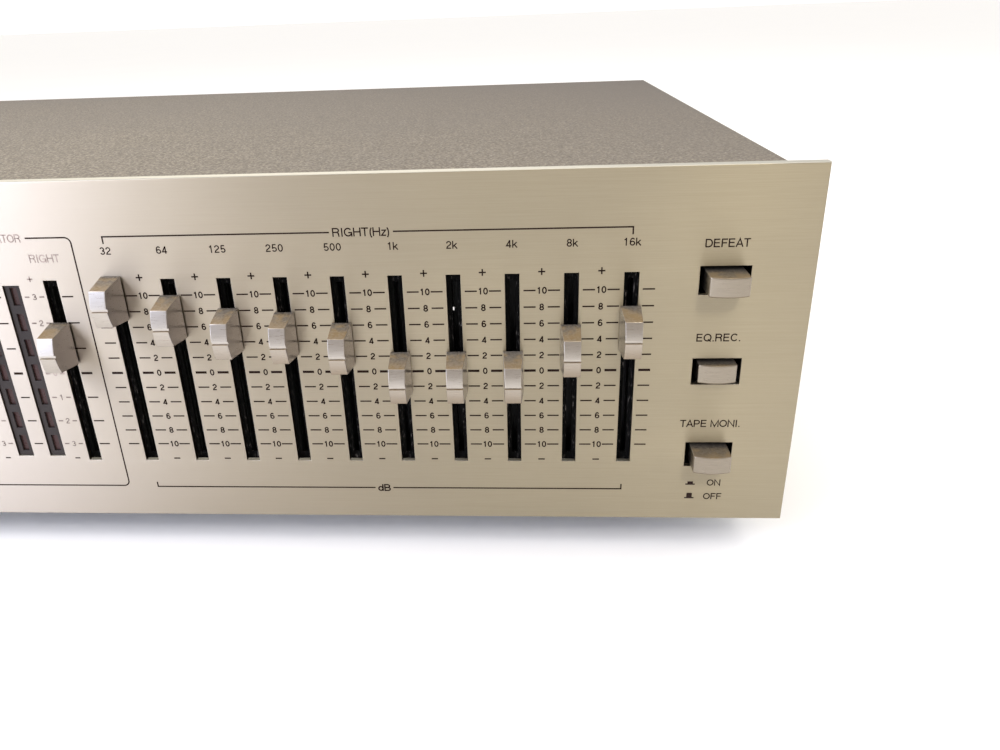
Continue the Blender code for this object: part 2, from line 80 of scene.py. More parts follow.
RIGHT_XS = [centre(node_of_band("right", band)).x for band in BANDS]
LEFT_XS = [centre(node_of_band("left", band)).x for band in BANDS]
LEVEL_X = centre("right_level_slider").x
LENS_X = centre("right_level_lens").x
PITCH = RIGHT_XS[1] - RIGHT_XS[0]
RIGHT_BUTTONS = {name: centre(name)
                 for name in ("defeat_button", "eq_record_button", "tape_monitor_button")}
POWER_BUTTON = centre("power_button")


# ---------------------------------------------------------------- materials

class Shader:
    """A material's node tree, with short calls for the nodes that these materials use."""

    def __init__(self, name, colour, metallic=0.0, roughness=0.5):
        self.material = bpy.data.materials.new(name + "_look")
        self.material.use_nodes = True
        self.tree = self.material.node_tree
        self.surface = self.tree.nodes["Principled BSDF"]
        self.set("Base Color", (*colour, 1.0))
        self.set("Metallic", metallic)
        self.set("Roughness", roughness)
        self.place = self.tree.nodes.new("ShaderNodeTexCoord").outputs["Object"]

    def plug(self, value, socket):
        """Feed a socket from a node's output, or set it to a value."""
        if isinstance(value, bpy.types.NodeSocket):
            self.tree.links.new(value, socket)
        else:
            socket.default_value = value

    def set(self, socket, value):
        self.surface.inputs[socket].default_value = value

    def link(self, output, socket):
        self.tree.links.new(output, self.surface.inputs[socket])

    def node(self, kind, **inputs):
        made = self.tree.nodes.new(kind)
        for name, value in inputs.items():
            self.plug(value, made.inputs[name.replace("_", " ")])
        return made

    def noise(self, scale, detail, roughness):
        """Noise whose cells measure 1 / scale metres, the same along each axis or one number for each."""
        scale = scale if isinstance(scale, tuple) else (scale, scale, scale)
        mapping = self.node("ShaderNodeMapping", Vector=self.place, Scale=scale)
        made = self.node("ShaderNodeTexNoise", Vector=mapping.outputs["Vector"], Scale=1.0,
                         Detail=detail, Roughness=roughness)
        return made.outputs["Fac"]

    def ramp(self, value, low, high, low_value=0.0, high_value=1.0):
        """Map a stretch of a value onto another, clamped."""
        made = self.node("ShaderNodeMapRange", Value=value, From_Min=low, From_Max=high,
                         To_Min=low_value, To_Max=high_value)
        return made.outputs["Result"]

    def math(self, operation, first, second):
        made = self.tree.nodes.new("ShaderNodeMath")
        made.operation = operation
        self.plug(first, made.inputs[0])
        self.plug(second, made.inputs[1])
        return made.outputs["Value"]

    def blend(self, share, first, second):
        """Mix two colours; each is a colour or a colour output."""
        made = self.tree.nodes.new("ShaderNodeMix")
        made.data_type = "RGBA"
        self.tree.links.new(share, made.inputs["Factor"])
        ends = [socket for socket in made.inputs if socket.type == "RGBA"]
        for socket, value in zip(ends, (first, second)):
            self.plug((*value, 1.0) if isinstance(value, tuple) else value, socket)
        return next(socket for socket in made.outputs if socket.type == "RGBA")

    def rough(self, value, low, high):
        """Roughness that follows a noise between two values."""
        self.link(self.ramp(value, 0.3, 0.7, low, high), "Roughness")

    def bump(self, height, strength, distance):
        made = self.node("ShaderNodeBump", Height=height, Strength=strength, Distance=distance)
        self.link(made.outputs["Normal"], "Normal")

    def facing(self, axis):
        """How far the surface faces along an axis of the object, from -1 to 1."""
        normal = self.node("ShaderNodeNewGeometry").outputs["Normal"]
        split = self.node("ShaderNodeSeparateXYZ", Vector=normal)
        return split.outputs[axis]

    def along(self, axis):
        """The place along an axis of the object, in metres."""
        return self.node("ShaderNodeSeparateXYZ", Vector=self.place).outputs[axis]


def plate_aluminium():
    """Champagne aluminium with long, fine horizontal brush lines and a bright cut edge on top, partly
    painted highlight.
    """
    shader = Shader("plate_aluminium", (0.74, 0.69, 0.60), 1.0, 0.33)
    fine = shader.noise((70.0, 400.0, 6500.0), 3.0, 0.6)
    coarse = shader.noise((30.0, 100.0, 2600.0), 3.0, 0.6)
    cloud = shader.noise((11.0, 11.0, 23.0), 4.0, 0.6)
    lines = shader.math("ADD", shader.math("MULTIPLY", fine, 0.82), shader.math("MULTIPLY", coarse, 0.18))
    tone = shader.blend(shader.ramp(lines, 0.3, 0.7), (0.388, 0.338, 0.243), (0.446, 0.392, 0.288))
    grey = shader.blend(shader.ramp(cloud, 0.35, 0.7, 0.0, 0.3), tone, (0.405, 0.365, 0.278))
    # painted light: a cooler tone over the left and middle of the plate, fading out by x = 0.13 m, stands
    # for the cool window light there
    painted_window_tint = shader.blend(shader.ramp(shader.along("X"), 0.0, 0.13, 0.8, 0.0), grey, (0.43, 0.375, 0.315))
    # the faces that look up are lightened: partly the bright cut edge, partly a painted highlight of the
    # overhead light
    cut_edge_and_highlight = shader.ramp(shader.facing("Z"), 0.4, 0.6)
    shader.link(shader.blend(cut_edge_and_highlight, painted_window_tint, (0.53, 0.51, 0.45)), "Base Color")
    streaks = shader.ramp(lines, 0.3, 0.7, 0.40, 0.48)
    rough = shader.math("ADD", streaks, shader.ramp(cloud, 0.3, 0.7, -0.03, 0.03))
    shader.link(rough, "Roughness")
    shader.bump(lines, 0.2, 0.00001)
    shader.set("Anisotropic", 0.94)
    tangent = shader.tree.nodes.new("ShaderNodeTangent")
    tangent.direction_type = "UV_MAP"
    tangent.uv_map = "grain"
    shader.link(tangent.outputs["Tangent"], "Tangent")
    return shader.material


def knob_metal(name, dark, light, mottle):
    """Satin metal, brushed along its width, with painted shade on the faces that look down and dusty brown
    on the faces that look up.
    """
    shader = Shader(name, light, 1.0, 0.3)
    lines = shader.noise((300.0, 1200.0, 9000.0), 2.0, 0.5)
    speckle = shader.noise(1500.0, 4.0, 0.65)
    patch = shader.noise(230.0, 3.0, 0.6)
    metal = shader.blend(shader.ramp(lines, 0.3, 0.7), dark, light)
    # painted shade: the faces that look down are darkened, lightly on the left and most from x = 0.085 m
    # rightwards
    underside_shade = tuple(share * part for share, part in zip((0.68, 0.60, 0.50), dark))
    shade_towards_right = shader.ramp(shader.along("X"), 0.035, 0.085, 0.2, 0.95)
    below = shader.ramp(shader.facing("Z"), -0.35, 0.0, 1.0, 0.0)
    metal = shader.blend(shader.math("MULTIPLY", shade_towards_right, below), metal, underside_shade)
    # painted light: the sides that face +X take a cooler grey, for the cool light they reflect
    metal = shader.blend(shader.ramp(shader.facing("X"), 0.5, 0.9), metal, (0.45, 0.42, 0.43))
    upward = shader.ramp(shader.facing("Z"), 0.55, 0.9)
    cover = shader.ramp(shader.math("ADD", speckle, patch), 0.7, 1.15, 0.55, 0.97)
    dust = shader.math("MULTIPLY", upward, cover)
    tone = shader.blend(shader.ramp(patch, 0.42, 0.56, 0.0, mottle), (0.100, 0.079, 0.052),
                        (0.245, 0.175, 0.088))
    # dust colour with painted shade: the tops turn golden towards the front and stay darker towards the
    # plate
    depth = shader.math("ADD", shader.along("Y"), shader.math("MULTIPLY", speckle, 0.003))
    dust_and_rear_shade = shader.ramp(depth, FRONT - 5.2 * MM, FRONT - 1.8 * MM, mottle, 0.0)
    tone = shader.blend(dust_and_rear_shade, tone, (0.235, 0.160, 0.072))
    # painted shade: the tops go almost black where they meet the plate
    plate_join_shade = shader.ramp(depth, FRONT - 0.6 * MM, FRONT + 0.8 * MM)
    tone = shader.blend(plate_join_shade, tone, (0.045, 0.038, 0.030))
    shader.link(shader.blend(dust, metal, tone), "Base Color")
    shader.link(shader.math("SUBTRACT", 1.0, shader.math("MULTIPLY", dust, 0.8)), "Metallic")
    streaks = shader.ramp(lines, 0.3, 0.7, 0.27, 0.31)
    shader.link(shader.math("ADD", streaks, shader.math("MULTIPLY", dust, 0.3)), "Roughness")
    relief = shader.math("MULTIPLY", dust, speckle)
    shader.bump(shader.math("ADD", shader.math("MULTIPLY", lines, 0.08), relief), 0.06, 0.00001)
    return shader.material


def cover_paint():
    """Grey-taupe paint with a fine grain, a painted glint on scattered grains, and painted shade towards
    the rear and the right.
    """
    shader = Shader("cover_paint", (0.21, 0.19, 0.165), 0.0, 0.5)
    grain = shader.noise(1250.0, 3.0, 0.6)
    wide = shader.noise(420.0, 2.0, 0.5)
    glint = shader.noise(1500.0, 1.0, 0.5)
    cloud = shader.noise(9.0, 3.0, 0.6)
    tone = shader.blend(shader.ramp(grain, 0.41, 0.62), (0.098, 0.080, 0.058), (0.315, 0.276, 0.215))
    # painted glint: scattered grains are lightened towards a pale colour
    tone = shader.blend(shader.ramp(glint, 0.66, 0.74, 0.0, 0.55), tone, (0.62, 0.58, 0.52))
    tone = shader.blend(shader.ramp(cloud, 0.3, 0.75, 0.0, 0.35), tone, (0.168, 0.15, 0.128))
    # painted shade: the blend below, named worn, darkens the cover towards the rear and the right, away
    # from the window
    rear = shader.ramp(shader.along("Y"), FRONT, FRONT + 0.25, 0.0, 0.5)
    right = shader.ramp(shader.along("X"), 0.0, 0.21, 0.0, 0.35)
    worn = shader.blend(shader.math("ADD", rear, right), tone, (0.095, 0.080, 0.070))
    shader.link(worn, "Base Color")
    shader.rough(grain, 0.45, 0.6)
    height = shader.math("ADD", shader.math("MULTIPLY", grain, 0.85), shader.math("MULTIPLY", wide, 0.15))
    shader.bump(height, 0.5, 0.00014)
    shader.set("Specular IOR Level", 0.05)
    return shader.material


def zinc_steel():
    """Zinc-plated sheet with a faint spangle."""
    shader = Shader("zinc_steel", (0.60, 0.60, 0.58), 1.0, 0.38)
    cells = shader.node("ShaderNodeTexVoronoi", Vector=shader.place, Scale=90.0).outputs["Color"]
    split = shader.node("ShaderNodeSeparateColor", Color=cells).outputs["Red"]
    shader.link(shader.blend(split, (0.52, 0.53, 0.53), (0.66, 0.66, 0.63)), "Base Color")
    scratch = shader.noise((60.0, 900.0, 900.0), 3.0, 0.6)
    shader.rough(scratch, 0.32, 0.48)
    shader.bump(scratch, 0.15, 0.00002)
    return shader.material


def plain_steel(name, colour, roughness):
    """Plated or machined metal with fine scuffs."""
    shader = Shader(name, colour, 1.0, roughness)
    scuff = shader.noise((500.0, 500.0, 1500.0), 4.0, 0.65)
    darker = tuple(0.82 * part for part in colour)
    shader.link(shader.blend(shader.ramp(scuff, 0.35, 0.7), darker, colour), "Base Color")
    shader.rough(scuff, roughness - 0.05, roughness + 0.12)
    shader.bump(scuff, 0.15, 0.00002)
    return shader.material


def black_felt():
    """Black felt with pale lint and dust caught in it, mostly along its length."""
    shader = Shader("black_felt", (0.004, 0.004, 0.004), 0.0, 0.95)
    fibre = shader.noise((3800.0, 3800.0, 900.0), 4.0, 0.7)
    lint = shader.noise((2600.0, 2600.0, 600.0), 3.0, 0.6)
    drift = shader.noise((260.0, 260.0, 45.0), 2.0, 0.5)
    tone = shader.blend(shader.ramp(fibre, 0.35, 0.75), (0.0005, 0.0005, 0.0005), (0.003, 0.003, 0.003))
    drifted = shader.ramp(drift, 0.45, 0.65, 0.1, 0.9)
    caught = shader.math("MULTIPLY", shader.ramp(lint, 0.58, 0.72), drifted)
    shader.link(shader.blend(caught, tone, (0.17, 0.155, 0.15)), "Base Color")
    shader.bump(fibre, 0.6, 0.0001)
    shader.set("Specular IOR Level", 0.1)
    return shader.material


def moulded(name, colour, roughness, grain=900.0, depth=0.00005):
    """Moulded plastic or rubber with a fine grain and slight variation."""
    shader = Shader(name, colour, 0.0, roughness)
    fine = shader.noise(grain, 3.0, 0.6)
    cloud = shader.noise(60.0, 3.0, 0.6)
    lighter = tuple(min(1.0, 1.35 * part + 0.004) for part in colour)
    shader.link(shader.blend(shader.ramp(cloud, 0.3, 0.75), colour, lighter), "Base Color")
    shader.rough(fine, roughness - 0.06, roughness + 0.06)
    shader.bump(fine, 0.4, depth)
    shader.set("Specular IOR Level", 0.2)
    return shader.material


def board_laminate():
    """Brown paper laminate with a faint weave."""
    shader = Shader("board_laminate", (0.33, 0.20, 0.08), 0.0, 0.5)
    weave = shader.noise((800.0, 200.0, 800.0), 3.0, 0.6)
    shader.link(shader.blend(weave, (0.25, 0.145, 0.055), (0.40, 0.26, 0.12)), "Base Color")
    shader.rough(weave, 0.42, 0.58)
    shader.bump(weave, 0.2, 0.00003)
    return shader.material


def core_iron():
    """Varnished laminations, stacked along the depth."""
    shader = Shader("core_iron", (0.13, 0.10, 0.08), 0.5, 0.5)
    sheets = shader.node("ShaderNodeTexWave", Vector=shader.place, Scale=320.0, Distortion=0.4)
    sheets.bands_direction = "Y"
    layer = sheets.outputs["Fac"]
    shader.link(shader.blend(layer, (0.09, 0.07, 0.055), (0.19, 0.15, 0.12)), "Base Color")
    shader.link(shader.ramp(layer, 0.0, 1.0, 0.42, 0.6), "Roughness")
    shader.bump(layer, 0.4, 0.0001)
    return shader.material


def screen_ink(name, colour):
    """Screen-printed ink, slightly uneven."""
    shader = Shader(name, colour, 0.0, 0.55)
    wear = shader.noise(700.0, 3.0, 0.6)
    lighter = tuple(min(1.0, 1.5 * part + 0.01) for part in colour)
    shader.link(shader.blend(shader.ramp(wear, 0.45, 0.8), colour, lighter), "Base Color")
    shader.rough(wear, 0.5, 0.65)
    shader.set("Specular IOR Level", 0.05)
    return shader.material


def pale_floor():
    """The plain pale floor."""
    shader = Shader("pale_floor", (0.93, 0.93, 0.93), 0.0, 0.8)
    cloud = shader.noise(3.0, 2.0, 0.5)
    shader.link(shader.blend(cloud, (0.92, 0.92, 0.92), (0.94, 0.94, 0.94)), "Base Color")
    return shader.material


PAINT = {
    "plate_aluminium": plate_aluminium(),
    "knob_metal": knob_metal("knob_metal", (0.42, 0.385, 0.34), (0.46, 0.425, 0.38), 1.0),
    "button_metal": knob_metal("button_metal", (0.262, 0.228, 0.182), (0.30, 0.262, 0.212), 0.55),
    "cover_paint": cover_paint(),
    "zinc_steel": zinc_steel(),
    "lever_steel": plain_steel("lever_steel", (0.30, 0.30, 0.31), 0.35),
    "screw_steel": plain_steel("screw_steel", (0.35, 0.34, 0.33), 0.3),
    "nickel": plain_steel("nickel", (0.78, 0.76, 0.72), 0.2),
    "black_felt": black_felt(),
    "lens_plastic": moulded("lens_plastic", (0.024, 0.019, 0.018), 0.45, 700.0, 0.00003),
    "lamp_resin": moulded("lamp_resin", (0.042, 0.020, 0.019), 0.3, 900.0, 0.00002),
    "black_plastic": moulded("black_plastic", (0.022, 0.022, 0.023), 0.45),
    "white_plastic": moulded("white_plastic", (0.72, 0.70, 0.66), 0.4),
    "red_plastic": moulded("red_plastic", (0.42, 0.03, 0.025), 0.4),
    "foot_rubber": moulded("foot_rubber", (0.025, 0.025, 0.026), 0.75, 1500.0, 0.0001),
    "board_laminate": board_laminate(),
    "core_iron": core_iron(),
    "dark_ink": screen_ink("dark_ink", (0.016, 0.008, 0.006)),
    "faint_ink": screen_ink("faint_ink", (0.28, 0.225, 0.20)),
    "worn_ink": screen_ink("worn_ink", (0.17, 0.135, 0.118)),
    "pale_ink": screen_ink("pale_ink", (0.62, 0.61, 0.58)),
}


# ---------------------------------------------------------------- mesh helpers

def finish_mesh(bm, name, paint, smooth_angle=50.0):
    bmesh.ops.recalc_face_normals(bm, faces=bm.faces)
    mesh = bpy.data.meshes.new(name)
    bm.to_mesh(mesh)
    bm.free()
    mesh.shade_smooth()
    mesh.set_sharp_from_angle(angle=math.radians(smooth_angle))
    mesh.materials.append(PAINT[paint])
    return mesh


def moved(mesh, matrix):
    """A copy of a mesh in its place, so that its grain differs from the other copies'."""
    copy = mesh.copy()
    copy.transform(matrix)
    return copy


def add_piece(name, mesh, body=CHASSIS, replaces=()):
    """Add a mesh as a piece of the object that rides on a body."""
    item = bpy.data.objects.new(name, mesh)
    bpy.context.scene.collection.objects.link(item)
    weighted = item.modifiers.new("normals", "WEIGHTED_NORMAL")
    weighted.keep_sharp = True
    weighted.weight = 100
    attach(item, body)
    if replaces:
        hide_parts(*replaces)


def add_solid(name, bm, paint, *replaces):
    """Finish a bmesh as a piece that rides on the chassis."""
    add_piece(name, finish_mesh(bm, name, paint), CHASSIS, replaces)


def add_box(bm, low, high):
    low, high = Vector(low), Vector(high)
    place = Matrix.Translation((low + high) / 2) @ Matrix.Diagonal((*(high - low), 1.0))
    bmesh.ops.create_cube(bm, size=1.0, matrix=place)


def join_rings(bm, first, second):
    """Faces between two closed rings of vertices."""
    for step in range(len(first)):
        after = (step + 1) % len(first)
        bm.faces.new((first[step], first[after], second[after], second[step]))


def thicken(bm, faces, depth):
    """Give flat faces a thickness along Y."""
    swept = bmesh.ops.extrude_face_region(bm, geom=faces)["geom"]
    far_side = [part for part in swept if isinstance(part, bmesh.types.BMVert)]
    bmesh.ops.translate(bm, vec=(0.0, depth, 0.0), verts=far_side)


def add_turned(bm, profile, spot, along="y", sides=32):
    """Turn (radius, station) points about an axis through a spot; both ends are capped."""
    order = "xyz".index(along)
    rings = []
    for radius, station in profile:
        ring = []
        for step in range(sides):
            angle = 2 * math.pi * step / sides
            place = [spot[0] + radius * math.cos(angle), spot[1] + radius * math.sin(angle)]
            place.insert(order, station)
            ring.append(bm.verts.new(place))
        rings.append(ring)
    for first, second in zip(rings, rings[1:]):
        join_rings(bm, first, second)
    bm.faces.new(rings[0])
    bm.faces.new(rings[-1])


def add_lathe(bm, origin, profile, spot, along="y", sides=32):
    """Turn a profile in millimetres, whose stations are counted from an origin."""
    points = [(radius * MM, origin + station * MM) for radius, station in profile]
    add_turned(bm, points, spot, along, sides)


def add_prism(bm, outline, axis, low, high):
    """Sweep a flat outline along an axis; its points hold the other two coordinates."""
    order = "xyz".index(axis)
    ends = []
    for station in (low, high):
        ring = []
        for point in outline:
            place = list(point)
            place.insert(order, station)
            ring.append(bm.verts.new(place))
        ends.append(ring)
        bm.faces.new(ring)
    join_rings(bm, *ends)


def pierced_sheet(bm, low, high, holes, front, back):
    """A sheet across X and Z between two depths, with rectangular holes (x0, x1, z0, z1)."""
    xs = sorted({low[0], high[0]} | {edge for hole in holes for edge in hole[:2]})
    zs = sorted({low[1], high[1]} | {edge for hole in holes for edge in hole[2:]})
    corners = {}

    def corner(x, z):
        if (x, z) not in corners:
            corners[x, z] = bm.verts.new((x, front, z))
        return corners[x, z]

    faces = []
    for x0, x1 in zip(xs, xs[1:]):
        for z0, z1 in zip(zs, zs[1:]):
            x, z = (x0 + x1) / 2, (z0 + z1) / 2
            if not any(hole[0] < x < hole[1] and hole[2] < z < hole[3] for hole in holes):
                square = (corner(x0, z0), corner(x1, z0), corner(x1, z1), corner(x0, z1))
                faces.append(bm.faces.new(square))
    thicken(bm, faces, back - front)


def soften(bm, width, segments=2, keep=None):
    """Bevel the sharp edges, or those of them that keep() picks."""
    bm.normal_update()
    bmesh.ops.recalc_face_normals(bm, faces=bm.faces)
    sharp = [edge for edge in bm.edges
             if edge.is_manifold and edge.calc_face_angle(0.0) > math.radians(30.0)]
    if keep:
        sharp = [edge for edge in sharp if keep(edge)]
    bmesh.ops.bevel(bm, geom=sharp, offset=width, segments=segments, profile=0.6, affect="EDGES",
                    clamp_overlap=True)


def window(x, z, width, height):
    return (x - width / 2, x + width / 2, z - height / 2, z + height / 2)


# ---------------------------------------------------------------- front plate

def slider_xs():
    return sorted(LEFT_XS + [-LEVEL_X, LEVEL_X] + RIGHT_XS)


def front_plate():
    """The plate with its openings, rim and studs, and a UV map that carries the brushing's direction."""
    holes = [window(x, SLOT_MIDDLE, SLOT_WIDTH, SLOT_HEIGHT) for x in slider_xs()]
    lens_low, lens_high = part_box("right_level_lens")
    lens_width, lens_height = lens_high.x - lens_low.x + 0.6 * MM, lens_high.z - lens_low.z + 0.6 * MM
    holes += [window(x, SLOT_MIDDLE, lens_width, lens_height) for x in (-LENS_X, LENS_X)]
    spots = [(spot.x, spot.z) for spot in (*RIGHT_BUTTONS.values(), POWER_BUTTON)]
    holes += [window(x, z, HOLE_WIDTH, HOLE_HEIGHT) for x, z in spots]
    low, high = PLATE_LOW, PLATE_HIGH
    bm = bmesh.new()
    pierced_sheet(bm, (low.x, low.z), (high.x, high.z), holes, FRONT, FRONT + PLATE_WEB)
    rim = bmesh.new()
    inner = (low.x + RIM_WIDTH, high.x - RIM_WIDTH, low.z + RIM_WIDTH, high.z - RIM_WIDTH)
    pierced_sheet(rim, (low.x, low.z), (high.x, high.z), [inner], FRONT + PLATE_WEB, FRONT + RIM_DEPTH)

    def in_front(edge):
        return all(vert.co.y < FRONT + 0.01 * MM for vert in edge.verts)

    def inside(edge):
        return all(low.x < vert.co.x < high.x and low.z < vert.co.z < high.z for vert in edge.verts)

    def on_border(edge):
        at_ends = all(vert.co.x in (low.x, high.x) for vert in edge.verts)
        return at_ends or all(min(abs(vert.co.z - low.z), abs(vert.co.z - high.z)) < 1e-6
                              for vert in edge.verts)

    soften(bm, 0.12 * MM, 2, lambda edge: in_front(edge) and inside(edge))
    soften(bm, 0.4 * MM, 3, lambda edge: in_front(edge) and on_border(edge))
    stud = [(STUD_RADIUS, FRONT + PLATE_WEB), (STUD_RADIUS, high.y)]
    for x in STUD_XS:
        for z in STUD_ZS:
            add_turned(rim, stud, (x * MM, z * MM), "y", 16)
    joined = bpy.data.meshes.new("rim")
    bmesh.ops.recalc_face_normals(rim, faces=rim.faces)
    rim.to_mesh(joined)
    rim.free()
    bm.from_mesh(joined)
    grain = bm.loops.layers.uv.new("grain")
    for face in bm.faces:
        for loop in face.loops:
            place = loop.vert.co
            loop[grain].uv = (place.z + place.y, place.x + 0.5 * place.y)
    add_solid("front_plate", bm, "plate_aluminium", "front_panel")


# ---------------------------------------------------------------- lettering

INK_BACK = FRONT - 0.005 * MM
INK_DEPTH = 0.025 * MM

# Letters are drawn by a pen along the middle of each stroke, in units of the capitals' height. Each has
# its advance and its strokes. A stroke is a list of points (x, y) and of arcs about a centre, each as
# (x, y, half width, half height, first angle, last angle).
LOW, HIGH = 0.07, 0.93
GLYPHS = {
    "0": (0.775, [[(0.387, 0.5, 0.255, 0.43, 0, 360)]]),
    "1": (0.775, [[(0.43, 0.0), (0.43, 1.0)], [(0.43, HIGH), (0.36, 0.81), (0.2, 0.76)]]),
    "2": (0.775, [[(0.385, 0.69, 0.245, 0.24, 180, -30), (0.2, 0.26), (0.135, LOW), (0.66, LOW)]]),
    "3": (0.775, [[(0.38, 0.715, 0.225, 0.215, 165, -90), (0.38, 0.285, 0.255, 0.215, 90, -165)]]),
    "4": (0.775, [[(0.69, 0.25), (0.11, 0.25), (0.51, 0.95)], [(0.51, 0.0), (0.51, 0.98)]]),
    "5": (0.775, [[(0.62, HIGH), (0.23, HIGH), (0.165, 0.48), (0.385, 0.31, 0.255, 0.24, 140, -155)]]),
    "6": (0.775, [[(0.39, 0.31, 0.255, 0.24, 0, 360)], [(0.4, 0.5, 0.265, 0.43, 200, 40)]]),
    "8": (0.775, [[(0.387, 0.715, 0.215, 0.215, 0, 360)], [(0.387, 0.285, 0.25, 0.215, 0, 360)]]),
    "A": (0.93, [[(0.06, 0.0), (0.465, 0.96), (0.87, 0.0)], [(0.2, 0.31), (0.73, 0.31)]]),
    "B": (0.93, [[(0.14, 0.5), (0.14, HIGH), (0.5, 0.715, 0.25, 0.215, 90, -90), (0.14, 0.5), (0.14, LOW),
                  (0.53, 0.285, 0.28, 0.215, -90, 90), (0.14, 0.5)]]),
    "C": (1.0, [[(0.52, 0.5, 0.4, 0.43, 38, 322)]]),
    "D": (1.0, [[(0.14, LOW), (0.14, HIGH), (0.48, 0.5, 0.4, 0.43, 90, -90), (0.1, LOW)]]),
    "E": (0.93, [[(0.8, HIGH), (0.14, HIGH), (0.14, LOW), (0.82, LOW)], [(0.14, 0.52), (0.76, 0.52)]]),
    "F": (0.85, [[(0.78, HIGH), (0.14, HIGH), (0.14, 0.0)], [(0.14, 0.5), (0.71, 0.5)]]),
    "G": (1.08, [[(0.53, 0.5, 0.42, 0.43, 38, 335)], [(0.56, 0.45), (0.95, 0.45), (0.95, 0.0)]]),
    "H": (1.0, [[(0.13, 0.0), (0.13, 1.0)], [(0.87, 0.0), (0.87, 1.0)], [(0.13, 0.52), (0.87, 0.52)]]),
    "I": (0.39, [[(0.195, 0.0), (0.195, 1.0)]]),
    "L": (0.77, [[(0.13, 1.0), (0.13, LOW), (0.68, LOW)]]),
    "M": (1.16, [[(0.12, 0.0), (0.12, 0.95), (0.58, 0.05), (1.04, 0.95), (1.04, 0.0)]]),
    "N": (1.0, [[(0.13, 0.0), (0.13, 0.95), (0.87, 0.05), (0.87, 1.0)]]),
    "O": (1.08, [[(0.54, 0.5, 0.43, 0.43, 0, 360)]]),
    "P": (0.93, [[(0.14, 0.0), (0.14, HIGH), (0.52, 0.68, 0.27, 0.25, 90, -90), (0.14, 0.43)]]),
    "Q": (1.08, [[(0.54, 0.5, 0.43, 0.43, 0, 360)], [(0.62, 0.28), (0.97, 0.0)]]),
    "R": (1.0, [[(0.13, 0.0), (0.13, HIGH), (0.55, 0.715, 0.27, 0.215, 90, -90), (0.13, 0.5)],
                [(0.6, 0.5), (0.77, 0.38), (0.82, 0.0)]]),
    "S": (0.93, [[(0.46, 0.715, 0.3, 0.215, 15, 270), (0.46, 0.285, 0.33, 0.215, 90, -165)]]),
    "T": (0.85, [[(0.02, HIGH), (0.83, HIGH)], [(0.425, HIGH), (0.425, 0.0)]]),
    "U": (1.0, [[(0.13, 1.0), (0.5, 0.38, 0.37, 0.31, 180, 360), (0.87, 1.0)]]),
    "V": (0.93, [[(0.05, 1.0), (0.465, 0.05), (0.88, 1.0)]]),
    "W": (1.31, [[(0.04, 1.0), (0.34, 0.05), (0.655, 0.95), (0.97, 0.05), (1.27, 1.0)]]),
    "d": (0.775, [[(0.66, 0.0), (0.66, 1.0)], [(0.385, 0.355, 0.27, 0.285, 0, 360)]]),
    "k": (0.68, [[(0.1, 0.0), (0.1, 1.0)], [(0.58, 0.71), (0.12, 0.27)], [(0.28, 0.42), (0.63, 0.0)]]),
    "z": (0.68, [[(0.08, 0.65), (0.57, 0.65), (0.09, LOW), (0.61, LOW)]]),
    "(": (0.44, [[(0.62, 0.4, 0.42, 0.7, 128, 232)]]),
    ")": (0.44, [[(-0.18, 0.4, 0.42, 0.7, 52, -52)]]),
    ".": (0.39, [[(0.195, 0.0), (0.195, 0.15)]]),
    " ": (0.39, []),
}
ARC_STEP = 22.5


def stroke_points(stroke):
    """A stroke's points, with its arcs cut into short steps."""
    points = []
    for part in stroke:
        if len(part) == 2:
            points.append(Vector(part))
            continue
        x, y, width, height, first, last = part
        steps = max(2, round(abs(last - first) / ARC_STEP))
        for step in range(steps + 1):
            turn = math.radians(first + (last - first) * step / steps)
            points.append(Vector((x + width * math.cos(turn), y + height * math.sin(turn))))
    return points


def ribbon(points, width):
    """The two edges of a band of a width along some points, mitred at its corners."""
    closed = (points[0] - points[-1]).length < 1e-6
    count = len(points)
    edges = []
    for index, point in enumerate(points):
        before = points[index - 1] if index else (points[-2] if closed else None)
        after = points[index + 1] if index + 1 < count else (points[1] if closed else None)
        ways = [(second - first).normalized() for first, second in ((before, point), (point, after))
                if first is not None and second is not None]
        sides = [Vector((-way.y, way.x)) for way in ways]
        out = sum(sides, Vector((0.0, 0.0))).normalized()
        reach = width / 2 / max(0.45, out.dot(sides[0]))
        edges.append((point + out * reach, point - out * reach))
    return edges


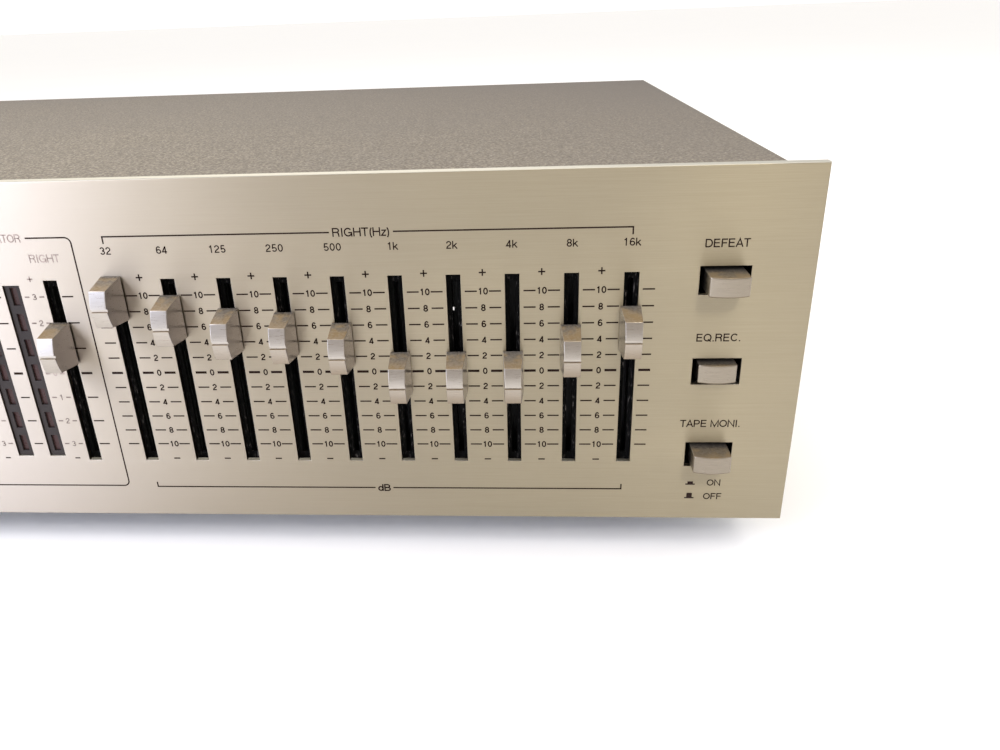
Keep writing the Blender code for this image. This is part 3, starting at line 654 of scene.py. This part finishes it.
class Print:
    """One ink's letters, lines and dashes, collected into one mesh.

    A print faces -Y, or +Y where facing is 1, on a surface at depth y.
    """

    def __init__(self, y=INK_BACK, facing=-1):
        self.bm = bmesh.new()
        self.y = y
        self.facing = facing

    def text(self, words, x, z, cap, stretch=1.0, weight=0.15):
        """Letters whose capitals are cap high, centred on x and z."""
        total = sum(GLYPHS[letter][0] for letter in words) * stretch
        start = -total / 2
        for letter in words:
            advance, strokes = GLYPHS[letter]
            for stroke in strokes:
                edges = ribbon([Vector((start + point.x * stretch, point.y - 0.5))
                                for point in stroke_points(stroke)], weight)
                rows = [[(x - self.facing * place.x * cap, z + place.y * cap) for place in pair]
                        for pair in edges]
                for first, second in zip(rows, rows[1:]):
                    self.shape((first[0], second[0], second[1], first[1]))
            start += advance * stretch

    def bar(self, x0, z0, x1, z1):
        """A filled rectangle."""
        self.shape(((x0, z0), (x1, z0), (x1, z1), (x0, z1)))

    def dash(self, x, z, length, width):
        self.bar(x - length / 2, z - width / 2, x + length / 2, z + width / 2)

    def upright(self, x, z, length, width):
        self.dash(x, z, width, length)

    def shape(self, points):
        self.bm.faces.new([self.bm.verts.new((x, self.y, z)) for x, z in points])

    def corner(self, x, z, radius, start, width):
        """A quarter ring about (x, z), from an angle in degrees."""
        steps = 8
        for step in range(steps):
            first, last = [math.radians(start + 90.0 * (step + part) / steps) for part in (0, 1)]
            inner, outer = radius - width / 2, radius + width / 2
            ends = ((inner, first), (outer, first), (outer, last), (inner, last))
            self.shape([(x + reach * math.cos(turn), z + reach * math.sin(turn)) for reach, turn in ends])

    def add(self, name, paint):
        """Thicken the print into a thin solid film and add it as a piece."""
        thicken(self.bm, list(self.bm.faces), self.facing * INK_DEPTH)
        add_solid(name, self.bm, paint)


HAIR = 0.38 * MM          # the width of the printed lines
HEAVY = 0.68 * MM         # the width of the zero rows' lines
TICK = 3.1 * MM           # a scale line's length
TICK_START = 2.85 * MM    # its start, from the middle of a slot
TITLE_Z = ZERO_LINE + 38.6 * MM
PLUS_Z = ZERO_LINE + 27.5 * MM
MINUS_Z = ZERO_LINE - 27.3 * MM
LABEL_RISE = 9.65 * MM    # from the middle of a button up to its label


def scale_rows():
    """(number, height, line width) of each row of a band scale."""
    return [(number, ZERO_LINE + ROW * (5 - index), HEAVY if number == "0" else HAIR)
            for index, number in enumerate(NUMBERS)]


def band_scale(ink, xs):
    """The rows of ticks and numbers between one bank's sliders, with a plus above and a minus below."""
    for number, z, width in scale_rows():
        for x in xs:
            for side in (-1, 1):
                ink.dash(x + side * (TICK_START + TICK / 2), z, TICK, width)
        for x in xs[:-1]:
            ink.text(number, x + PITCH / 2, z, 1.8 * MM, 0.98, 0.19)
    for x in xs[:-1]:
        mark = x + PITCH / 2
        ink.dash(mark, PLUS_Z, 1.8 * MM, HAIR)
        ink.upright(mark, PLUS_Z, 1.8 * MM, HAIR)
        ink.dash(mark, MINUS_Z, 1.8 * MM, HAIR)


def bank_legend(ink, xs, title):
    """Band names, the bracket above with its title, and the dB bracket below."""
    for x, band in zip(xs, BANDS):
        # the longer names are printed a little to the left of their slots
        shift = 0.35 * MM if len(band) == 3 else 0.0
        ink.text(band, x - shift, ZERO_LINE + 34.85 * MM, 2.0 * MM, 1.02, 0.15)
    left, right = xs[0] - 0.1 * MM, xs[-1] - 0.2 * MM
    middle = (left + right) / 2
    top, bottom = TITLE_Z, ZERO_LINE - 37.0 * MM
    for low, high, gap, tick in ((top - HAIR / 2, top + HAIR / 2, 8.1 * MM, -1.7 * MM),
                                 (bottom - HAIR / 2, bottom + HAIR / 2, 2.6 * MM, 1.4 * MM)):
        ink.bar(left, low, middle - gap, high)
        ink.bar(middle + gap, low, right, high)
        for x in (left, right):
            ink.bar(x - HAIR / 2, min(low, low + tick), x + HAIR / 2, max(high, high + tick))
    ink.text(title, middle, top, 2.25 * MM, 0.96, 0.15)
    ink.text("dB", middle, bottom, 2.25 * MM, 1.0, 0.18)


def level_box(ink):
    """The rounded frame round the level sliders, open at its title."""
    half, top, bottom = 24.4 * MM, TITLE_Z, ZERO_LINE - 36.7 * MM
    radius, gap, pen = 1.6 * MM, 12.3 * MM, HAIR / 2
    ink.bar(-half + radius, bottom - pen, half - radius, bottom + pen)
    for side in (-1, 1):
        ends = sorted((side * gap, side * (half - radius)))
        ink.bar(ends[0], top - pen, ends[1], top + pen)
        ink.bar(side * half - pen, bottom + radius, side * half + pen, top - radius)
    for quarter, x, z in ((0, half - radius, top - radius), (1, radius - half, top - radius),
                          (2, radius - half, bottom + radius), (3, half - radius, bottom + radius)):
        ink.corner(x, z, radius, 90.0 * quarter, HAIR)


def level_scale(ink, worn, faint):
    """The rows between the lamp bars and the level sliders, and the box's labels."""
    number_x = 10.65 * MM
    rows = [(str(abs(index)), ZERO_LINE + index * LAMP_ROW) for index in range(-3, 4)]
    for number, z in rows:
        width = HEAVY if number == "0" else HAIR
        ink.dash(0.0, z, 2.6 * MM, width)
        for side in (-1, 1):
            ink.dash(side * (LEVEL_X + 3.9 * MM), z, TICK, width)
            rubbed = faint if number == "0" else worn
            rubbed.dash(side * (number_x - 2.05 * MM), z, 1.3 * MM, width)
            rubbed.dash(side * (number_x + 2.05 * MM), z, 1.3 * MM, width)
            rubbed.text(number, side * number_x, z, 1.72 * MM)
    for side in (-1, 1):
        mark = side * number_x
        faint.dash(mark, PLUS_Z, 1.5 * MM, HAIR)
        faint.upright(mark, PLUS_Z, 1.5 * MM, HAIR)
        ink.dash(mark, MINUS_Z, 1.5 * MM, HAIR)
    for side, word in ((1, "RIGHT"), (-1, "LEFT")):
        faint.text(word, side * 16.1 * MM, ZERO_LINE + 33.1 * MM, 2.2 * MM, 0.88, 0.12)
    faint.text("LEVEL INDICATOR", 0.0, TITLE_Z, 2.2 * MM, 0.82, 0.12)


def button_labels(ink):
    for name, label in (("defeat_button", "DEFEAT"), ("eq_record_button", "EQ.REC."),
                        ("tape_monitor_button", "TAPE MONI.")):
        spot = RIGHT_BUTTONS[name]
        ink.text(label, spot.x - 0.2 * MM, spot.z + LABEL_RISE, 2.15 * MM, 0.93)
    ink.text("POWER", POWER_BUTTON.x, POWER_BUTTON.z + LABEL_RISE, 2.15 * MM, 0.93)
    for spot in (RIGHT_BUTTONS["tape_monitor_button"], POWER_BUTTON):
        push_marks(ink, spot.x, spot.z)


def push_marks(ink, x, z):
    """The small pictures of a pressed and a released button, with their words."""
    for word, drop, cap_height in (("ON", 9.1 * MM, 0.7 * MM), ("OFF", 13.6 * MM, 1.4 * MM)):
        left, base = x - 5.4 * MM, z - drop - 0.75 * MM
        ink.bar(left, base, left + 2.6 * MM, base + 0.4 * MM)
        ink.bar(left + 0.55 * MM, base + 0.4 * MM, left + 2.05 * MM, base + 0.4 * MM + cap_height)
        ink.text(word, x + 2.3 * MM, z - drop, 2.0 * MM, 0.93)


def print_plate():
    """All of the front's printing, in three strengths of ink as it has worn."""
    dark, worn, faint = Print(), Print(), Print()
    for xs, title in ((RIGHT_XS, "RIGHT(Hz)"), (LEFT_XS, "LEFT(Hz)")):
        band_scale(dark, xs)
        bank_legend(dark, xs, title)
    level_box(dark)
    level_scale(dark, worn, faint)
    button_labels(dark)
    dark.add("printed_legend", "dark_ink")
    worn.add("printed_level_scale", "worn_ink")
    faint.add("printed_level_legend", "faint_ink")


# ---------------------------------------------------------------- sliders, buttons, lenses, felt

def knob_mesh():
    """A knob about its index line, with an upper slope and a bowed front split by the index groove.

    The outline holds (reach, height) in millimetres; the sides lean in towards the front.
    """
    outline = [(0.4, 6.55), (8.2, 5.05), (8.75, 3.4), (9.15, 1.75), (9.35, 0.5), (8.8, 0.45), (8.8, -0.36),
               (9.3, -0.42), (9.02, -2.0), (8.62, -3.5), (8.1, -4.95), (0.4, -5.75)]
    bm = bmesh.new()
    rings = []
    for side in (-1, 1):
        ring = []
        for reach, height in outline:
            half_width = 2.6 - 0.5 * (reach - 0.8) / 8.7
            ring.append(bm.verts.new((side * half_width * MM, -reach * MM, height * MM)))
        rings.append(ring)
        bm.faces.new(ring)
    join_rings(bm, *rings)
    bmesh.ops.recalc_face_normals(bm, faces=bm.faces)

    def in_groove(edge):
        return all(abs(vert.co.z) < 0.6 * MM and vert.co.y < -8.0 * MM for vert in edge.verts)

    soften(bm, 0.16 * MM, 3, lambda edge: not in_groove(edge))
    return finish_mesh(bm, "knob", "knob_metal", 60.0)


def lever_mesh():
    bm = bmesh.new()
    add_box(bm, (-0.6 * MM, -0.9 * MM, -2.0 * MM), (0.6 * MM, 10.2 * MM, 2.0 * MM))
    soften(bm, 0.15 * MM, 1)
    return finish_mesh(bm, "lever", "lever_steel")


def add_sliders():
    """Twenty-two knobs, each with its lever, where the frame has the sliders."""
    knob, lever = knob_mesh(), lever_mesh()
    for side in ("left", "right"):
        for label in (*[f"{band}hz" for band in BANDS], "level"):
            node = f"{side}_{label}_slider"
            spot = centre(node)
            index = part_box(node)[1].z - KNOB_TOP
            at = Matrix.Translation((spot.x, FRONT, index))
            add_piece(f"{side}_{label}_knob", moved(knob, at), node, [node])
            add_piece(f"{side}_{label}_lever", moved(lever, at), node)


def button_mesh():
    """A cap whose face is bowed across its width, and its stem; the origin is at the face's edge."""
    half_x, half_z, crown = CAP_WIDTH / 2, CAP_HEIGHT / 2, CAP_CROWN
    radius = (half_x ** 2 + crown ** 2) / (2 * crown)
    steps = 16
    outline = []
    for step in range(steps + 1):
        x = -half_x + 2 * half_x * step / steps
        outline.append((x, radius - crown - math.sqrt(radius ** 2 - x ** 2)))
    outline += [(half_x, 10.9 * MM), (-half_x, 10.9 * MM)]
    bm = bmesh.new()
    add_prism(bm, outline, "z", -half_z, half_z)
    # the face tapers a little
    for vert in bm.verts:
        if vert.co.y < 1.0 * MM:
            vert.co.z *= 0.955
            vert.co.x *= 0.975
    soften(bm, 0.38 * MM, 4)
    add_box(bm, (-2.0 * MM, 11.0 * MM, -1.6 * MM), (2.0 * MM, 35.4 * MM, 1.6 * MM))
    return finish_mesh(bm, "button_cap", "button_metal")


def add_lint():
    """A pale fibre caught in the 2 kHz slot."""
    bm = bmesh.new()
    x, z = centre("right_2khz_slider").x - 0.5 * MM, ZERO_LINE + 3.75 * ROW
    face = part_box("right_dust_felt")[0].y
    add_box(bm, (x, face - 0.5 * MM, z), (x + 0.35 * MM, face - 0.1 * MM, z + 0.9 * MM))
    soften(bm, 0.1 * MM, 2)
    add_solid("caught_lint", bm, "white_plastic")


def add_buttons():
    cap = button_mesh()
    for name in (*RIGHT_BUTTONS, "power_button"):
        middle = centre(name)
        at = Matrix.Translation((middle.x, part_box(name)[0].y + CAP_CROWN, middle.z))
        add_piece(f"{name}_cap", moved(cap, at), name, [name])


def add_lenses():
    """Tinted bars with seven recessed lamp windows, each with the lamp's face behind."""
    for side, x in (("left", -LENS_X), ("right", LENS_X)):
        low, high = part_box(f"{side}_level_lens")
        rows = [ZERO_LINE + index * LAMP_ROW for index in range(-3, 4)]
        holes = [window(x + 0.1 * MM, z, 1.9 * MM, 5.1 * MM) for z in rows]
        face = FRONT + 0.45 * MM
        bm = bmesh.new()
        spread = 0.2 * MM
        pierced_sheet(bm, (low.x - spread, low.z - spread), (high.x + spread, high.z + spread), holes,
                      face, face + 0.6 * MM)
        soften(bm, 0.08 * MM, 2)
        add_solid(f"{side}_lens_bar", bm, "lens_plastic", f"{side}_level_lens")
        bm = bmesh.new()
        for z in rows:
            add_box(bm, (x - 0.95 * MM, face + 0.62 * MM, z - 2.7 * MM),
                    (x + 1.15 * MM, face + 2.4 * MM, z + 2.7 * MM))
        soften(bm, 0.1 * MM, 2)
        add_solid(f"{side}_lamps", bm, "lamp_resin")


def add_felts():
    """Felt strips with their slits, and the dark linings behind the slits."""
    for name, xs in (("left_dust_felt", LEFT_XS), ("right_dust_felt", RIGHT_XS),
                     ("level_dust_felt", [-LEVEL_X, LEVEL_X])):
        low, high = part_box(name)
        holes = [window(x, SLOT_MIDDLE, 1.6 * MM, 51.0 * MM) for x in xs]
        if name == "level_dust_felt":
            holes += [window(x, SLOT_MIDDLE, 5.2 * MM, 53.4 * MM) for x in (-LENS_X, LENS_X)]
        bm = bmesh.new()
        pierced_sheet(bm, (low.x, low.z), (high.x, high.z), holes, low.y, high.y)
        add_solid(f"{name}_strip", bm, "black_felt", name)
        # what shows through a slit is the black mouth of the slide potentiometer
        bm = bmesh.new()
        for x in xs:
            for side in (-1, 1):
                inner, outer = sorted((x + side * 0.75 * MM, x + side * 2.4 * MM))
                add_box(bm, (inner, high.y + 0.02 * MM, SLOT_MIDDLE - 27.4 * MM),
                        (outer, high.y + 0.25 * MM, SLOT_MIDDLE + 27.4 * MM))
        add_solid(f"{name}_lining", bm, "black_felt")


# ---------------------------------------------------------------- case

def add_cover():
    """The folded cover, with finer folds than the frame's and softened cut edges."""
    low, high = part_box("top_cover")
    sheet, bend = 1.2 * MM, 2.0 * MM
    outline = []
    for inset in (0.0, sheet):
        half, top, radius = high.x - inset, high.z - inset, bend - inset
        run = [(-half, low.z)]
        for side in (-1, 1):
            for step in range(9):
                turn = math.radians(90.0 * step / 8)
                turn = turn if side < 0 else math.pi / 2 - turn
                across = half - radius + radius * math.cos(turn)
                run.append((side * across, top - radius + radius * math.sin(turn)))
        run.append((half, low.z))
        outline += run if not outline else run[::-1]
    bm = bmesh.new()
    add_prism(bm, outline, "y", low.y, high.y)
    soften(bm, 0.25 * MM, 2)
    add_piece("cover_shell", finish_mesh(bm, "cover_shell", "cover_paint", 40.0), replaces=["top_cover"])


def pan_head(radius, height):
    """A pan head's profile as (radius, height) from its rim up to its middle."""
    profile = [(radius, 0.0), (radius, height * 0.35)]
    for step in range(1, 7):
        turn = math.radians(15.0 * step)
        reach = max(0.05 * MM, radius * math.cos(turn))
        profile.append((reach, height * (0.35 + 0.65 * math.sin(turn))))
    return profile


def add_screw_head(bm, spot, axis, way, radius, height, shank=0.0):
    """A pan head seated at a spot, facing way along an axis; its shank goes the other way."""
    order = "xyz".index(axis)
    base = spot[order]
    across = [part for index, part in enumerate(spot) if index != order]
    profile = [(radius * 0.45, -shank), (radius * 0.45, 0.0)] if shank else []
    profile += pan_head(radius, height)
    add_turned(bm, [(reach, base + way * up) for reach, up in profile], across, axis, 28)


def add_cross(bm, spot, axis, way, radius):
    """The cross recess of a screw, as a thin dark cross lying on the head's top: painted shade for the
    hollow.
    """
    order = "xyz".index(axis)
    middle = Vector(spot)
    middle[order] -= way * 0.035 * MM
    for sizes in ((0.62, 0.15), (0.15, 0.62)):
        half = [radius * share for share in sizes]
        half.insert(order, 0.04 * MM)
        add_box(bm, middle - Vector(half), middle + Vector(half))


def add_cover_screws():
    """The cover's four screws, with their shanks."""
    crosses = bmesh.new()
    for side, way in (("left", -1), ("right", 1)):
        for end in ("front", "rear"):
            node = f"{side}_{end}_cover_screw"
            low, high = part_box(node)
            middle = centre(node)
            face = high.x if way > 0 else low.x
            bm = bmesh.new()
            seat = (face - way * 2.1 * MM, middle.y, middle.z)
            add_screw_head(bm, seat, "x", way, 3.6 * MM, 2.02 * MM, 6.0 * MM)
            add_cross(crosses, (face - way * 0.03 * MM, middle.y, middle.z), "x", way, 2.6 * MM)
            add_solid(f"{node}_head", bm, "screw_steel", node)
    # dark crosses: painted shade for the recesses
    add_solid("cover_screw_recess_shade", crosses, "black_plastic")


# ---------------------------------------------------------------- rear and underside

REAR_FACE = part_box("rear_panel")[1].y
JACK_SPREAD = (11.0 * MM, 12.0 * MM)


def add_jacks():
    """Nickel phono jacks with a seat ring and a coloured insulator, on their laminate strips."""
    nickel, strips, holes = bmesh.new(), bmesh.new(), bmesh.new()
    insulators = {-1: bmesh.new(), 1: bmesh.new()}
    nodes = ("tape_jacks", "line_jacks")
    for node in nodes:
        low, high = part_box(node)
        middle = centre(node)
        add_box(strips, (low.x, REAR_FACE - 3.5 * MM, low.z), (high.x, REAR_FACE - 1.5 * MM, high.z))
        tail = (REAR_FACE - low.y) / MM
        tip = (high.y - REAR_FACE) / MM
        barrel = [(4.2, -1.4), (4.2, 0.1), (6.0, 0.1), (6.0, 0.7), (4.5, 1.1), (4.2, 1.4),
                  (4.2, tip - 0.35), (3.9, tip), (3.5, tip), (3.4, tip - 0.6)]
        ring = [(3.35, -0.55), (3.3, -0.35), (1.9, -0.35), (1.7, -0.5)]
        for across in (-1, 1):
            for level in (-1, 1):
                spot = (middle.x + across * JACK_SPREAD[0], middle.z + level * JACK_SPREAD[1])
                add_lathe(nickel, REAR_FACE, [(3.0, -tail), (3.0, -3.6)], spot, sides=24)
                add_lathe(nickel, REAR_FACE, barrel, spot, sides=36)
                add_lathe(insulators[across], high.y, ring, spot)
                # painted shade: a thin dark disc stands for the hollow bore
                add_lathe(holes, high.y, [(1.6, -0.45), (1.6, -0.32)], spot, sides=20)
    add_solid("jack_shells", nickel, "nickel", *nodes)
    add_solid("jack_strips", strips, "board_laminate")
    add_solid("right_jack_insulators", insulators[-1], "red_plastic")
    add_solid("left_jack_insulators", insulators[1], "white_plastic")
    add_solid("jack_bore_shade", holes, "black_plastic")


def add_ribs(bm, spot, ring_radius, count, rib, origin, sides):
    """Fine ribs round a cap or a nut, each turned from a profile in millimetres."""
    for step in range(count):
        turn = 2 * math.pi * step / count
        place = (spot.x + ring_radius * math.cos(turn), spot.z + ring_radius * math.sin(turn))
        add_lathe(bm, origin, rib, place, sides=sides)


def add_fuse_cap():
    """The ribbed cap of the fuse holder, with a slot for a coin."""
    low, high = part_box("fuse_holder")
    spot = centre("fuse_holder")
    top = (high.y - REAR_FACE) / MM
    tail = (low.y - REAR_FACE) / MM
    profile = [(4.5, tail), (6.2, tail + 4.0), (6.2, 0.3), (8.0, 0.3), (8.0, 1.5), (7.7, 1.8), (6.0, 1.8),
               (5.6, top - 0.6), (5.0, top)]
    bm = bmesh.new()
    add_lathe(bm, REAR_FACE, profile, (spot.x, spot.z), sides=40)
    add_ribs(bm, spot, 5.85 * MM, 20, [(0.38, 1.9), (0.34, top - 0.9)], REAR_FACE, 8)
    add_solid("fuse_cap", bm, "black_plastic", "fuse_holder")
    slot = bmesh.new()
    add_box(slot, (spot.x - 3.6 * MM, high.y - 0.04 * MM, spot.z - 0.5 * MM),
            (spot.x + 3.6 * MM, high.y, spot.z + 0.5 * MM))
    add_solid("fuse_cap_slot", slot, "pale_ink")


def add_ground_post():
    """The ground post with its washer and knurled nut."""
    low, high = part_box("ground_terminal")
    spot = centre("ground_terminal")
    top = (high.y - REAR_FACE) / MM
    profile = [(2.0, (low.y - REAR_FACE) / MM), (2.0, 0.1), (5.0, 0.1), (5.0, 0.8), (3.9, 0.9),
               (3.9, 1.6), (4.3, 1.8), (4.3, top - 2.6), (3.9, top - 2.2), (1.9, top - 2.2),
               (1.9, top - 0.3), (1.6, top)]
    bm = bmesh.new()
    add_lathe(bm, REAR_FACE, profile, (spot.x, spot.z), sides=40)
    add_ribs(bm, spot, 4.25 * MM, 24, [(0.24, 1.9), (0.24, top - 2.7)], REAR_FACE, 6)
    add_solid("ground_post", bm, "nickel", "ground_terminal")


def add_rear_screws():
    """The screws round the rear panel's edge."""
    low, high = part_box("rear_panel")
    heads, crosses = bmesh.new(), bmesh.new()
    for x in (low.x + 9 * MM, -75 * MM, 88 * MM, high.x - 9 * MM):
        for z in (low.z + 8 * MM, high.z - 8 * MM):
            add_screw_head(heads, (x, REAR_FACE + 0.05 * MM, z), "y", 1, 2.8 * MM, 1.3 * MM)
            add_cross(crosses, (x, REAR_FACE + 1.34 * MM, z), "y", 1, 2.2 * MM)
    add_solid("rear_panel_screws", heads, "screw_steel")
    # dark crosses: painted shade for the recesses
    add_solid("rear_screw_recess_shade", crosses, "black_plastic")


def print_rear():
    """Words and frames round the rear fittings."""
    white = Print(REAR_FACE + 0.02 * MM, 1)
    half_line = 0.2 * MM
    for node, words in (("tape_jacks", "TAPE"), ("line_jacks", "LINE")):
        spot = centre(node)
        across, up = JACK_SPREAD
        for level, word in ((1, "OUT"), (-1, "IN")):
            white.text(word, spot.x, spot.z + level * up, 2.4 * MM)
        half, top, bottom = 20.5 * MM, spot.z + 27.0 * MM, spot.z - 21.0 * MM
        for side, letter in ((1, "L"), (-1, "R")):
            white.text(letter, spot.x + side * across, spot.z + 20.5 * MM, 2.4 * MM)
            ends = sorted((spot.x + side * 7.0 * MM, spot.x + side * half))
            white.bar(ends[0], top - half_line, ends[1], top + half_line)
            edge = spot.x + side * half
            white.bar(edge - half_line, bottom, edge + half_line, top)
        white.bar(spot.x - half, bottom - half_line, spot.x + half, bottom + half_line)
        white.text(words, spot.x, top, 2.8 * MM)
    for node, words, rise in (("ac_inlet", "AC IN", 13.0), ("fuse_holder", "FUSE", 13.0),
                              ("ground_terminal", "GND", 10.0)):
        spot = centre(node)
        white.text(words, spot.x, spot.z + rise * MM, 2.4 * MM)
    white.add("printed_rear_legend", "pale_ink")


def add_feet():
    """Moulded feet with a rounded rim, a hollow underside and a screw."""
    screws, crosses = bmesh.new(), bmesh.new()
    for side in ("left", "right"):
        for end in ("front", "rear"):
            node = f"{side}_{end}_foot"
            low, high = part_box(node)
            middle = centre(node)
            radius = (high.x - low.x) / 2 / MM
            top = (high.z - low.z) / MM
            profile = [(3.2, 5.0), (4.6, 4.6), (5.2, 0.8), (6.2, 0.0), (radius - 4.2, 0.0)]
            for step in range(1, 7):
                turn = math.radians(15.0 * step)
                profile.append((radius - 4.2 + 3.2 * math.sin(turn), 1.6 * (1 - math.cos(turn))))
            profile += [(radius - 0.2, top - 1.6), (radius, top - 0.9), (radius - 0.2, top - 0.2),
                        (radius - 0.8, top)]
            bm = bmesh.new()
            add_lathe(bm, low.z, profile, (middle.x, middle.y), "z", 56)
            add_solid(f"{node}_body", bm, "foot_rubber", node)
            add_screw_head(screws, (middle.x, middle.y, low.z + 4.9 * MM), "z", -1, 2.9 * MM, 1.6 * MM)
            add_cross(crosses, (middle.x, middle.y, low.z + 3.25 * MM), "z", -1, 2.3 * MM)
    add_solid("foot_screws", screws, "screw_steel")
    add_floor_screws(crosses)
    # dark crosses: painted shade for the recesses
    add_solid("underside_screw_recess_shade", crosses, "black_plastic")


def add_floor_screws(crosses):
    """The screws that hold the boards and the transformer, seen from below."""
    heads = bmesh.new()
    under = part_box("bottom_chassis")[0].z
    spots = [(-165, 60), (-165, 28), *[(x, y) for x in (-60, 60, 150) for y in (-60, 70)]]
    for x, y in spots:
        add_screw_head(heads, (x * MM, y * MM, under - 0.02 * MM), "z", -1, 2.8 * MM, 1.2 * MM)
        add_cross(crosses, (x * MM, y * MM, under - 1.26 * MM), "z", -1, 2.2 * MM)
    add_solid("floor_screws", heads, "screw_steel")


def carry_over():
    """CAD nodes whose shape is right keep it and take a detailed material."""
    painted = {
        "black_plastic": ("sub_panel", "left_fader_bank", "right_fader_bank", "left_level_fader",
                          "right_level_fader", "function_switch_bank", "power_switch", "ac_inlet"),
        "board_laminate": ("level_display_board", "equalizer_board", "power_supply_board"),
        "zinc_steel": ("bottom_chassis",),
        "cover_paint": ("rear_panel",),
        "core_iron": ("transformer",),
    }
    for name, nodes in painted.items():
        for node in nodes:
            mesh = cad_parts[node].data
            mesh.materials.clear()
            mesh.materials.append(PAINT[name])


# ---------------------------------------------------------------- stage

def add_stage():
    """A floor so wide that its edge is out of sight."""
    bm = bmesh.new()
    reach = 60.0
    sides = ((-reach, -reach), (reach, -reach), (reach, reach), (-reach, reach))
    bm.faces.new([bm.verts.new((x, y, 0.0)) for x, y in sides])
    mesh = bpy.data.meshes.new("floor")
    bm.to_mesh(mesh)
    bm.free()
    mesh.materials.append(pale_floor())
    floor = bpy.data.objects.new("floor", mesh)
    bpy.context.scene.collection.objects.link(floor)


def add_light(name, spot, aim, size, power, colour):
    light = bpy.data.lights.new(name, "AREA")
    light.shape = "RECTANGLE"
    light.size, light.size_y = size
    light.energy = power
    light.color = colour
    item = bpy.data.objects.new(name, light)
    bpy.context.scene.collection.objects.link(item)
    item.location = spot
    item.rotation_euler = (Vector(aim) - Vector(spot)).to_track_quat("-Z", "Y").to_euler()


def add_lights():
    """A window at the front left with its pool of light, a soft panel overhead, a lamp and the room."""
    add_light("window", (-0.93, -0.98, 0.42), (0.0, -0.12, 0.0), (0.62, 1.1), 12.6, (0.80, 0.90, 1.22))
    add_light("pool", (-0.42, -0.47, 0.6), (-0.42, -0.47, 0.0), (0.4, 0.4), 3.0, (0.95, 0.97, 1.08))
    add_light("overhead", (0.2, 0.1, 1.5), (0.1, 0.05, 0.05), (1.6, 1.4), 12.0, (1.0, 0.95, 0.87))
    add_light("lamp", (0.45, -0.80, 0.80), (0.17, -0.13, 0.06), (0.16, 0.16), 1.0, (1.0, 0.93, 0.72))
    world = bpy.data.worlds.new("room")
    world.use_nodes = True
    tree = world.node_tree
    background = tree.nodes["Background"]
    way = tree.nodes.new("ShaderNodeSeparateXYZ")
    tree.links.new(tree.nodes.new("ShaderNodeTexCoord").outputs["Generated"], way.inputs["Vector"])
    share = tree.nodes.new("ShaderNodeMapRange")
    share.interpolation_type = "SMOOTHSTEP"
    share.inputs["From Min"].default_value = -0.75
    share.inputs["From Max"].default_value = 0.0
    tree.links.new(way.outputs["Y"], share.inputs["Value"])
    mix = tree.nodes.new("ShaderNodeMix")
    mix.data_type = "RGBA"
    tree.links.new(share.outputs["Result"], mix.inputs["Factor"])
    front_side, rest = [socket for socket in mix.inputs if socket.type == "RGBA"]
    front_side.default_value = (0.62, 0.56, 0.52, 1.0)
    rest.default_value = (1.20, 1.18, 1.15, 1.0)
    result = next(socket for socket in mix.outputs if socket.type == "RGBA")
    tree.links.new(result, background.inputs["Color"])
    bpy.context.scene.world = world


def add_camera():
    camera = bpy.data.cameras.new("camera")
    camera.sensor_width = 36.0
    camera.lens = 27.88
    camera.shift_x = 0.0319
    camera.shift_y = -0.0305
    camera.clip_start = 0.01
    item = bpy.data.objects.new("camera", camera)
    item.location = (0.1411, -0.3139, 0.1445)
    item.rotation_euler = [math.radians(angle) for angle in (66.927, 2.069, 3.641)]
    bpy.context.scene.collection.objects.link(item)
    bpy.context.scene.camera = item


def main():
    add_camera()
    front_plate()
    print_plate()
    add_sliders()
    add_buttons()
    add_lenses()
    add_felts()
    add_lint()
    add_cover()
    add_cover_screws()
    add_jacks()
    add_fuse_cap()
    add_ground_post()
    add_rear_screws()
    print_rear()
    add_feet()
    carry_over()
    add_stage()
    add_lights()
    bpy.context.scene.view_settings.view_transform = "Standard"


main()
